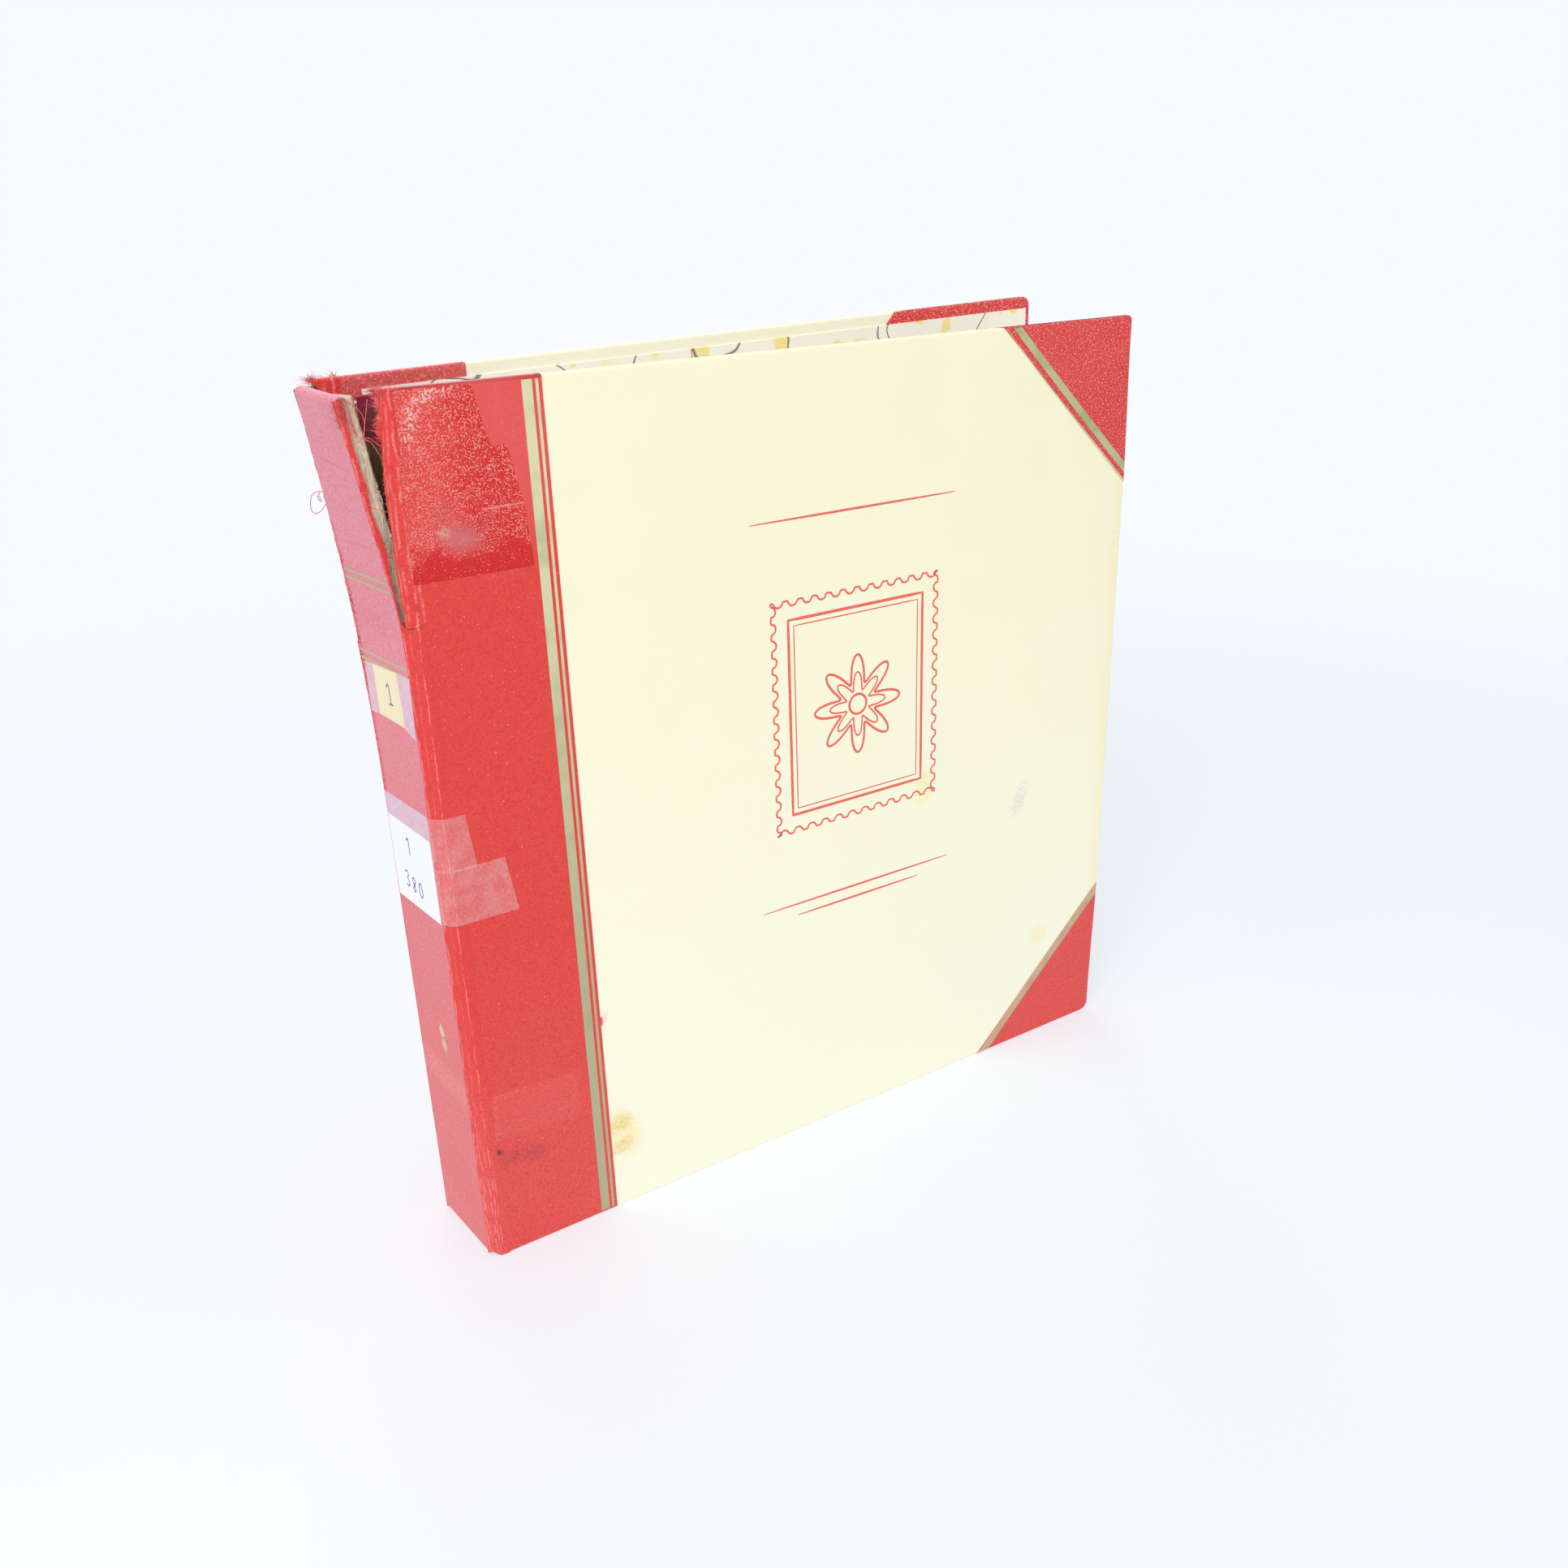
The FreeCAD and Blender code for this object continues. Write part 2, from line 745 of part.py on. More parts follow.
def build_lining_and_labels():
    """The cloth channel that carries the leaf block, and the two paper labels on the spine."""
    cloth = size["lining_thickness"]
    arm_end = size["block_setback"] + size["lining_arm"]
    channel = [
        Point(SPINE_INNER, FLANGE_FRONT - cloth),
        Point(arm_end, FLANGE_FRONT - cloth),
        Point(arm_end, FLANGE_FRONT),
        Point(SPINE_INNER + cloth, FLANGE_FRONT),
        Point(SPINE_INNER + cloth, FLANGE_BACK),
        Point(arm_end, FLANGE_BACK),
        Point(arm_end, FLANGE_BACK + cloth),
        Point(SPINE_INNER, FLANGE_BACK + cloth),
    ]
    foot = size["lining_foot"]
    lining = padded("spine_lining_form", "XY_Plane", channel, foot, foot + size["lining_height"])
    node("spine_lining", lining, "spine")

    for name in ("upper_label", "lower_label"):
        half_width = size[f"{name}_width"] / 2
        middle = DEPTH / 2 + size[f"{name}_shift"]
        label_foot = size[f"{name}_foot"]
        label = box(
            f"{name}_form",
            (SPINE_OUTER - size["label_thickness"], SPINE_OUTER),
            (middle - half_width, middle + half_width),
            (label_foot, label_foot + size[f"{name}_height"]),
        )
        node(name, label, "spine")


# Leaf block


def post_holes():
    """The punched holes for the posts, one above the other."""
    return [(Point(POST_X, post_height(i)), POST_HOLE_RADIUS) for i in range(POST_COUNT)]


def build_block():
    """The flanges, the guards that hold the leaves by their bound edges, and the leaves."""
    near = size["block_setback"]
    foot = size["flange_foot"]
    head = foot + size["flange_height"]
    flange_outline = rectangle(near, near + size["flange_width"], foot, head)
    flanges = {"front": (FLANGE_FRONT, STACK_FRONT), "back": (STACK_BACK, FLANGE_BACK)}
    for side, y_range in flanges.items():
        flange = padded(
            f"{side}_flange_form", "XZ_Plane", flange_outline, *y_range, holes=post_holes()
        )
        node(f"{side}_flange", flange, "spine")

    margin = size["guard_margin"]
    guard_outline = rectangle(near, GUARD_EDGE, foot + margin, head - margin)
    guard = padded(
        "guard_form", "XZ_Plane", guard_outline, 0, GUARD_THICKNESS, holes=post_holes()
    )
    guard_places = [STACK_FRONT + GUARD_THICKNESS * i for i in range(LEAF_COUNT)]
    node("guards", copies("guard", guard, "y", guard_places), "spine")

    half = size["leaf_thickness"] / 2
    leaf_outline = [
        Point(size["leaf_width"], -half),
        Point(size["leaf_width"], half),
        Point(0, half),
        Bend(0, 0, half),
        Point(0, -half),
    ]
    leaf_top = size["leaf_foot"] + size["leaf_height"]
    leaf = padded("leaf_form", "XY_Plane", leaf_outline, size["leaf_foot"], leaf_top)
    for number in range(1, LEAF_COUNT + 1):
        node(f"leaf_{number:02d}", leaf, f"leaf_{number:02d}")


def build_posts():
    """The hollow posts that string the block together, and the slotted screws that close them."""
    head = size["head_thickness"]
    head_radius = size["head_radius"]
    rim = head / 3
    bore_radius = size["screw_radius"] + size["bore_clearance"]
    bore_end = FLANGE_FRONT + size["screw_length"] + size["bore_spare_depth"]
    post_end = FLANGE_FRONT + size["post_end_setback"]
    post_outline = [
        Point(bore_radius, post_end),
        Point(size["post_radius"], post_end),
        Point(size["post_radius"], FLANGE_BACK),
        Point(head_radius, FLANGE_BACK),
        Point(head_radius, FLANGE_BACK + head - rim),
        Point(head_radius - rim, FLANGE_BACK + head),
        Point(0, FLANGE_BACK + head),
        Point(0, bore_end),
        Point(bore_radius, bore_end),
    ]
    post = turned("post_form", post_outline)
    standing = document.addObject("Part::Compound", "post_at_inset")
    standing.Links = [post]
    standing.setExpression("Placement.Base.x", POST_X.formula)
    heights = [post_height(i) for i in range(POST_COUNT)]
    node("posts", copies("post", standing, "z", heights), "spine")

    face = FLANGE_FRONT - head
    screw_outline = [
        Point(0, face),
        Point(head_radius - rim, face),
        Point(head_radius, face + rim),
        Point(head_radius, FLANGE_FRONT),
        Point(size["screw_radius"], FLANGE_FRONT),
        Point(size["screw_radius"], FLANGE_FRONT + size["screw_length"]),
        Point(0, FLANGE_FRONT + size["screw_length"]),
    ]
    blank = turned("screw_blank", screw_outline)
    slot = box(
        "screw_slot",
        (-(size["slot_width"] / 2), size["slot_width"] / 2),
        (face - CUT_MARGIN, face + size["slot_depth"]),
        (-(head_radius + CUT_MARGIN), head_radius + CUT_MARGIN),
    )
    screw = cut("screw_form", blank, slot)
    for name in POST_NAMES[:POST_COUNT]:
        node(f"{name}_screw", screw, f"{name}_screw")


def stand_up(shift):
    """Takes every node to its place in the standing album, with the whole moved by a shift."""
    case = FreeCAD.Placement(shift, FreeCAD.Rotation(UPRIGHT, SKEW_ANGLE))
    for piece, body in nodes.values():
        piece.Placement = case * BODY_PLACES[body]
    document.recompute()
    return case


def overall_box():
    """The box round every node."""
    whole = FreeCAD.BoundBox()
    for piece, _ in nodes.values():
        whole.add(piece.Shape.optimalBoundingBox(False, False))
    return whole


def check_document():
    """Stops if any object failed, or a node has no valid solid."""
    for item in document.Objects:
        if "Invalid" in item.State or "Error" in item.State:
            raise RuntimeError(f"{item.Name} failed: {item.State}")
    for label, (piece, _) in nodes.items():
        shape = piece.Shape
        if shape.isNull() or not shape.isValid() or not shape.Solids:
            raise RuntimeError(f"{label} has no valid solid")


def export_nodes():
    """Writes one file per node, named after its label."""
    os.makedirs("parts", exist_ok=True)
    for piece, _ in nodes.values():
        piece.Shape.exportStep(f"parts/{piece.Label}.step")


build_spine_covering()
build_joints()
build_lining_and_labels()
build_cover("front")
build_cover("back")
build_block()
build_posts()
document.recompute()

stand_up(FreeCAD.Vector())
footprint = overall_box()
CASE_PLACE = stand_up(FreeCAD.Vector(-footprint.Center.x, -footprint.Center.y, -footprint.ZMin))
check_document()
export_nodes()
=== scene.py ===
"""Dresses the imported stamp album: worn leathercloth, cream sides, gilt, labels, tape and a torn spine.

Lengths are millimetres on the bench, where the case is square and closed: X from the joints to the
fore edge, Y from the front cover to the back one, Z up. A BodyFrame takes them to the standing album.
"""
import json
import logging
import math
from dataclasses import dataclass
from enum import Enum

import bmesh
import bpy
import numpy as np
from mathutils import Matrix


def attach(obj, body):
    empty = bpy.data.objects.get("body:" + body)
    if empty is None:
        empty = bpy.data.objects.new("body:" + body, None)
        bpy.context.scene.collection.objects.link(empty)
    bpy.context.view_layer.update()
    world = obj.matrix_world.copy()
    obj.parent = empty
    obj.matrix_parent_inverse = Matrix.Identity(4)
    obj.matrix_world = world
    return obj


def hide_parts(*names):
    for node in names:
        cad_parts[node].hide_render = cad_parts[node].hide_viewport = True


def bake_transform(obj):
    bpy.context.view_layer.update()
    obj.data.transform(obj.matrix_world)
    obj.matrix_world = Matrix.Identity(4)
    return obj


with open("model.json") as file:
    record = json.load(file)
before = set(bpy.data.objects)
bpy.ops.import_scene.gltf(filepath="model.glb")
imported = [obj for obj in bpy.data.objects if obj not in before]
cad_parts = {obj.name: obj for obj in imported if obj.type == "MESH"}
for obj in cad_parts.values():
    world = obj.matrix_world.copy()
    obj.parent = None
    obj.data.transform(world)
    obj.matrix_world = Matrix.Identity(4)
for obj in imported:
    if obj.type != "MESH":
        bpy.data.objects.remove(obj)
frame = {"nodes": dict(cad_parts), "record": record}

LOG = logging.getLogger("album")
MM = 0.001
RGB = tuple[int, int, int]
Pair = tuple[float, float]
Triple = tuple[float, float, float]
Corners = tuple[Pair, ...]
Rows = tuple[tuple[float, ...], ...]
Array = np.ndarray
Socket = bpy.types.NodeSocket
Material = bpy.types.Material


class Side(Enum):
    """The two covers, with their joints."""

    FRONT = "front"
    BACK = "back"

    @property
    def sign(self) -> float:
        """The direction along Y in which the cover's outer face looks."""
        return -1.0 if self is Side.FRONT else 1.0

    @property
    def number(self) -> int:
        """0 for the front and 1 for the back, which sets their random draws apart."""
        return int(self is Side.BACK)

    @property
    def tear(self) -> float:
        """The height at which the tear of the joint starts."""
        return SIZES.front_tear if self is Side.FRONT else SIZES.back_tear

    @property
    def cover(self) -> "BodyFrame":
        """The frame of the cover."""
        return FRAMES[f"{self.value}_cover"]


class End(Enum):
    """The two ends of a cover or of the spine."""

    HEAD = "head"
    TAIL = "tail"


class Shape(Enum):
    """The outline of a mark on a surface."""

    BOX = "box"
    OVAL = "oval"


@dataclass(frozen=True)
class CaseSizes:
    """Sizes of the case as the solids have them, and the bevel of the joints' strips."""

    height: float = 320.0
    depth: float = 43.8
    hinge_edge: float = 3.7
    quarter_edge: float = 49.2
    fore_edge: float = 302.8
    paper: float = 0.3
    paper_drop: float = 0.2
    board_inner: float = 3.1
    thickness: float = 3.6
    turn_in: float = 15.0
    edge_round: float = 0.9
    corner_round: float = 3.5
    head_leg: float = 65.8
    tail_leg: float = 68.2
    joint_radius: float = 3.4
    bevel_start: float = 4.0
    bevel_end: float = -0.3
    front_lean: float = 5.6
    back_lean: float = 2.8
    back_slip: float = 0.94
    slip_height: float = 241.0
    front_tear: float = 247.0
    back_tear: float = 233.0


SIZES = CaseSizes()


def unit(degrees: float) -> Pair:
    """The cosine and the sine of an angle."""
    return math.cos(math.radians(degrees)), math.sin(math.radians(degrees))


@dataclass(frozen=True)
class BodyFrame:
    """How the bench coordinates of one body stand in the album.

    The body is first turned in its own plane about a point of the hinge line, which lifts its fore
    edge by the slip, then about an upright pivot.
    """

    body: str
    pivot: Pair
    stands_at: Pair
    turn: float
    slip: float = 0.0

    def place(self, points: Array) -> Array:
        """Takes bench points to the standing album: slip, turn about the pivot, then move.

        Args:
            points: bench points in millimetres, with three numbers each.

        Returns:
            The points of the standing album in metres.
        """
        cosine, sine = unit(self.slip)
        across, above = points[..., 0] - self.pivot[0], points[..., 2] - SIZES.slip_height
        up = SIZES.slip_height + sine * across + cosine * above
        across, along = cosine * across - sine * above, points[..., 1] - self.pivot[1]
        cosine, sine = unit(self.turn)
        x = self.stands_at[0] + cosine * across - sine * along
        y = self.stands_at[1] + sine * across + cosine * along
        return np.stack([x, y, up], -1) * MM

    def bench(self, placed: Array) -> Array:
        """Takes points of the standing album back to the bench.

        Args:
            placed: points in metres.

        Returns:
            The bench points in millimetres.
        """
        cosine, sine = unit(self.turn)
        moved = placed / MM
        across, along = moved[..., 0] - self.stands_at[0], moved[..., 1] - self.stands_at[1]
        y = self.pivot[1] - sine * across + cosine * along
        across, above = cosine * across + sine * along, moved[..., 2] - SIZES.slip_height
        cosine, sine = unit(self.slip)
        x = self.pivot[0] + cosine * across + sine * above
        z = SIZES.slip_height - sine * across + cosine * above
        return np.stack([x, y, z], -1)


def body_frames(record: dict) -> dict[str, BodyFrame]:
    """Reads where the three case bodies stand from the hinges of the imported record.

    Args:
        record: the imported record.

    Returns:
        A frame for the spine and for each cover, by body name.
    """
    hinges = {joint["name"]: joint["pos_m"] for joint in record["behaviour"]["joints"]}
    front = (hinges["front_cover_hinge"][0] / MM, hinges["front_cover_hinge"][1] / MM)
    back = (hinges["back_cover_hinge"][0] / MM, hinges["back_cover_hinge"][1] / MM)
    skew = math.degrees(math.atan2(front[0] - back[0], back[1] - front[1]))
    near = (0.0, SIZES.joint_radius)
    far = (0.0, SIZES.depth - SIZES.joint_radius)
    return {
        "spine": BodyFrame("spine", near, front, skew),
        "front_cover": BodyFrame("front_cover", near, front, skew - SIZES.front_lean),
        "back_cover": BodyFrame("back_cover", far, back, skew - SIZES.back_lean, SIZES.back_slip),
    }


FRAMES = body_frames(frame["record"])
SPINE = FRAMES["spine"]


# Shapes


@dataclass
class Patch:
    """A grid of points over two parameters, with its flat coordinates in millimetres."""

    points: Array
    flat: Array
    closed: bool = False

    def facing(self, direction: Triple) -> "Patch":
        """Turns the grid over if the sum of its face normals points away from a direction."""
        down = self.points[1:, :-1] - self.points[:-1, :-1]
        along = self.points[:-1, 1:] - self.points[:-1, :-1]
        if (np.cross(down, along) * np.array(direction)).sum() < 0:
            return Patch(self.points[:, ::-1], self.flat[:, ::-1], self.closed)
        return self

    def corners(self) -> Array:
        """Corner numbers of the quads, row by row, closed round the columns where asked."""
        rows, columns = self.points.shape[:2]
        number = np.arange(rows * columns).reshape(rows, columns)
        if self.closed:
            number = np.concatenate([number, number[:, :1]], 1)
        quads = [number[:-1, :-1], number[1:, :-1], number[1:, 1:], number[:-1, 1:]]
        return np.stack(quads, -1).reshape(-1, 4)


def smooth_step(value: Array, low: float, high: float) -> Array:
    """Rises from 0 at low to 1 at high along the cubic 3t^2 - 2t^3."""
    share = np.clip((value - low) / (high - low), 0, 1)
    return share * share * (3 - 2 * share)


def run_length(points: Array) -> Array:
    """The length of a chain from its start to each of its points."""
    return np.concatenate([[0], np.cumsum(np.linalg.norm(np.diff(points, axis=0), axis=1))])


def flat_grid(first: Array, second: Array) -> Array:
    """Flat coordinates over a grid, from its two parameters."""
    return np.stack(np.broadcast_arrays(first, second), -1)


def ragged(along: Array, pitch: float, height: float, seed: int) -> Array:
    """A torn line: random heights at even knots joined by straight runs, at three finer pitches.

    Args:
        along: places along the tear.
        pitch: distance between the coarsest knots.
        height: height of the coarsest teeth.
        seed: picks the random heights.

    Returns:
        The height of the tear at each place.
    """
    draw = np.random.default_rng(seed)
    line = np.zeros_like(along)
    for octave in range(3):
        step = pitch / 3**octave
        knots = np.arange(along.min() - step, along.max() + 2 * step, step)
        line = line + np.interp(along, knots, draw.uniform(-1, 1, knots.size)) * height / 2**octave
    return line


def swell(first: Array, second: Array, pitch: float, seed: int) -> Array:
    """Soft waves over a surface: 1.6 times the mean of eight plane sine waves in random directions.

    Args:
        first: first coordinate of the surface.
        second: second coordinate, of a shape that joins with the first.
        pitch: shortest wavelength.
        seed: picks the directions and phases.

    Returns:
        Heights between about -1 and 1.
    """
    draw = np.random.default_rng(seed)
    turn, phase = draw.uniform(0, math.tau, (2, 8))
    rate = math.tau / (pitch * draw.uniform(1, 3, 8))
    waves = np.sin(
        first[..., None] * rate * np.cos(turn) + second[..., None] * rate * np.sin(turn) + phase
    )
    return waves.mean(-1) * 1.6


def corner_cut(points: Array, rounds: int = 3) -> Array:
    """Rounds a chain of points: each round replaces every corner by points at its quarters.

    Args:
        points: the chain along its first axis.
        rounds: how often the corners are cut.

    Returns:
        The rounded chain, with the same ends.
    """
    for _ in range(rounds):
        near = points[:-1] * 0.75 + points[1:] * 0.25
        far = points[:-1] * 0.25 + points[1:] * 0.75
        inner = np.stack([near, far], 1).reshape((-1,) + points.shape[1:])
        points = np.concatenate([points[:1], inner, points[-1:]])
    return points


def edge_section(
    outer: float, inner: float, radius: float, reach: float, steps: int = 7
) -> tuple[Array, Array]:
    """Section of a turned-in edge: a quarter circle, the flat of the edge, a quarter circle, a run in.

    Args:
        outer: depth of the outer face.
        inner: depth of the inner face.
        radius: radius of both quarter circles.
        reach: how far the turn-in runs from the edge.
        steps: points on each quarter circle.

    Returns:
        The inset from the edge and the depth of each point, from the outer face inwards.
    """
    angle = np.linspace(0, math.pi / 2, steps)
    run = np.linspace(radius, reach, 6)[1:]
    inset = np.concatenate([radius * (1 - np.sin(angle)), radius * (1 - np.cos(angle)), run])
    upper = outer + radius * (1 - np.cos(angle))
    lower = inner - radius * (1 - np.sin(angle))
    return inset, np.concatenate([upper, lower, np.full_like(run, inner)])


def turned_strip(
    length: float, inner: float, radius: float, reach: float, count: int, steps: int = 7
) -> tuple[Array, Array]:
    """Section of a strip that is turned in at both ends, with its outer face at depth 0.

    Args:
        length: length of the strip between its two edges.
        inner: depth of the turn-ins.
        radius: radius of the quarter circles at the edges.
        reach: how far the turn-ins run from the edges.
        count: points on the face.
        steps: points on each quarter circle.

    Returns:
        The place along the strip and the depth of each point.
    """
    inset, depth = edge_section(0.0, inner, radius, reach, steps)
    face = np.linspace(radius, length - radius, count)[1:-1]
    along = np.concatenate([inset[::-1], face, length - inset])
    return along, np.concatenate([depth[::-1], np.zeros_like(face), depth])


def ribbon(line: Array, width: Array | float, closed: bool = False) -> Array:
    """A flat band along a line in a plane: each point moved by half the width along its normal.

    Args:
        line: points of the line, two numbers each.
        width: width of the band, one number or one for each point.
        closed: whether the line runs back to its start.

    Returns:
        The band's points, two for each point of the line.
    """
    if closed:
        line = np.concatenate([line, line[:1]])
        run = np.concatenate([line[1:] - line[:-1], line[1:2] - line[:1]])
        run = run + np.roll(run, 1, 0) * 0.999
    else:
        run = np.gradient(line, axis=0)
    normal = np.stack([-run[:, 1], run[:, 0]], -1)
    normal /= np.linalg.norm(normal, axis=1, keepdims=True) + 1e-9
    half = normal * np.reshape(np.asarray(width, float) / 2, (-1, 1))
    return np.stack([line - half, line + half], 1)


def tube(path: Array, radius: float, sides: int = 6) -> Patch:
    """A thread: a circle carried along a path, square to it, and drawn to a point at both ends.

    Args:
        path: points along the thread.
        radius: radius of the thread.
        sides: points on the circle.

    Returns:
        The thread's surface.
    """
    run = np.gradient(path, axis=0)
    run /= np.linalg.norm(run, axis=1, keepdims=True)
    side = np.cross(run, (0.3, 0.2, 0.93))
    side /= np.linalg.norm(side, axis=1, keepdims=True)
    other = np.cross(run, side)
    angle = np.linspace(0, math.tau, sides, endpoint=False)
    reach = np.full(len(path), radius)
    reach[[0, -1]] = 0
    ring = side[:, None] * np.cos(angle)[:, None] + other[:, None] * np.sin(angle)[:, None]
    points = path[:, None] + ring * reach[:, None, None]
    return Patch(points[:, ::-1], points[..., 1:], closed=True)


def fibres(
    edge: Array, outward: Triple, count: int, length: float, seed: int, radius: float = 0.07
) -> list[Patch]:
    """Frayed fibres on a torn edge: tapering three-sided threads that leave it and curl at random.

    Args:
        edge: points along the torn edge.
        outward: the direction in which the edge frays.
        count: number of fibres.
        length: scale of the fibres' lengths.
        seed: picks places, lengths and curls.
        radius: radius of a fibre at its root.

    Returns:
        A patch for each fibre, closed at its tip.
    """
    draw = np.random.default_rng(seed)
    place = draw.uniform(0, len(edge) - 1.001, count)
    low = place.astype(int)
    share = (place - low)[:, None]
    root = edge[low] * (1 - share) + edge[low + 1] * share
    away = np.array(outward) + draw.normal(0, 0.55, (count, 3))
    curl = draw.normal(0, 0.6, (count, 3))
    reach = length * draw.uniform(0.25, 1, count) ** 2
    step = np.linspace(0, 1, 5)[:, None]
    line = away[:, None] * step + curl[:, None] * step**2
    line = root[:, None] + line * reach[:, None, None]
    angle = np.linspace(0, math.tau, 3, endpoint=False)
    spread = draw.normal(0, 1, (2, count, 3))
    spread /= np.linalg.norm(spread, axis=2, keepdims=True)
    ring = spread[0][:, None] * np.cos(angle)[:, None] + spread[1][:, None] * np.sin(angle)[:, None]
    taper = (1 - step) * radius
    points = line[:, :, None] + ring[:, None] * taper[:, None]
    return [Patch(fibre, fibre[..., 1:], closed=True) for fibre in points]


# Making pieces


def put(name: str, data: bpy.types.ID) -> bpy.types.Object:
    """Puts a new object with its data into the scene."""
    thing = bpy.data.objects.new(name, data)
    bpy.context.scene.collection.objects.link(thing)
    return thing


def make_piece(
    name: str,
    patches: list[Patch],
    place: BodyFrame,
    finish: Material,
    slot: str,
    thickness: float = 0.0,
    blended_with: str = "",
    stands_for: tuple[str, ...] = (),
) -> bpy.types.Object:
    """Builds one object from grids of bench points and hangs it on a body.

    Args:
        name: name of the piece.
        patches: its grids, with bench points in millimetres.
        place: frame of the body that carries it.
        finish: its material.
        slot: the record's material slot of its finish; not used.
        thickness: thickness in millimetres that is added behind the surface, 0 for none.
        blended_with: the cover of a piece that crosses a joint; such a piece is baked in place, not bent.
        stands_for: the solids that it replaces.

    Returns:
        Builds one object from grids of bench points and hangs it on a body, unless it crosses a joint.
    """
    starts = np.cumsum([0] + [patch.points[..., 0].size for patch in patches])
    points = np.concatenate([patch.points.reshape(-1, 3) for patch in patches])
    flat = np.concatenate([patch.flat.reshape(-1, 2) for patch in patches])
    quads = np.concatenate([patch.corners() + start for patch, start in zip(patches, starts)])
    mesh = bpy.data.meshes.new(name)
    mesh.from_pydata(place.place(points).tolist(), [], quads.tolist())
    order = np.zeros(len(mesh.loops), np.int32)
    mesh.loops.foreach_get("vertex_index", order)
    mesh.uv_layers.new(name="flat").data.foreach_set("uv", flat[order].astype(np.float32).ravel())
    weld(mesh)
    mesh.materials.append(finish)
    piece = put(name, mesh)
    if thickness:
        solid = piece.modifiers.new("thickness", "SOLIDIFY")
        solid.thickness = thickness * MM
        solid.offset = -1.0
        solid.use_even_offset = False
    if blended_with:
        bend_at_joint(piece, blended_with)
    else:
        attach(piece, place.body)
    if stands_for:
        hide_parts(*stands_for)
    LOG.info("%s: %d faces on %s", name, len(mesh.polygons), blended_with or place.body)
    return piece


def weld(mesh: bpy.types.Mesh) -> None:
    """Merges points that meet, shades the faces smooth and keeps the free edges sharp."""
    work = bmesh.new()
    work.from_mesh(mesh)
    bmesh.ops.remove_doubles(work, verts=work.verts, dist=2e-7)
    bmesh.ops.dissolve_degenerate(work, edges=work.edges, dist=1e-8)
    work.to_mesh(mesh)
    work.free()
    mesh.polygons.foreach_set("use_smooth", np.ones(len(mesh.polygons), bool))
    sides = np.zeros(len(mesh.loops), np.int32)
    mesh.loops.foreach_get("edge_index", sides)
    free = np.bincount(sides, minlength=len(mesh.edges)) == 1
    mesh.attributes.new("sharp_edge", "BOOLEAN", "EDGE").data.foreach_set("value", free)
    mesh.update()


def bend_at_joint(piece: bpy.types.Object, cover: str) -> None:
    """Bakes the placement of a piece that crosses a joint into its points; the joint's ends are found but
    not used.
    """
    side = Side(cover.removesuffix("_cover"))
    line = joint_line(side, height=side.tear)
    start, end = SPINE.place(np.array([*line[1], 0.0])), SPINE.place(np.array([*line[2], 0.0]))
    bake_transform(piece)


def mirrored(side: Side, depth: Array | float) -> Array | float:
    """A place across the case, counted from the outer face of one cover."""
    return depth if side is Side.FRONT else SIZES.depth - depth


def joint_line(
    side: Side, lift: float = 0.0, near: float = 4.6, far: float = 3.75, height: float = 0.0
) -> Array:
    """Corners of the joint's section on the spine's bench: spine face, bevel, cover face.

    Args:
        side: which joint.
        lift: how far the line stands out from the leather.
        near: where it starts on the spine, across the case.
        far: where it ends on the cover, along the cover.
        height: the height of the section, which matters where the cover has slipped.

    Returns:
        Four points of two numbers each, or six where the line runs far over the cover.
    """
    outer = -SIZES.joint_radius - lift
    on_spine = np.array([[outer, mirrored(side, place)] for place in (near, SIZES.bevel_start)])
    stops = [SIZES.bevel_end - lift / 2, *(stop for stop in (2.5, 5.0) if far > 5.0), far]
    on_cover = np.array([[stop, mirrored(side, -lift), height] for stop in stops])
    return np.concatenate([on_spine, SPINE.bench(side.cover.place(on_cover))[:, :2]])


# Finishes


def linear(colour: RGB) -> tuple[float, float, float, float]:
    """A colour of a display as the linear light that a shader takes."""
    share = np.array(colour) / 255
    light = np.where(share <= 0.04045, share / 12.92, ((share + 0.055) / 1.055) ** 2.4)
    return (*light.tolist(), 1.0)


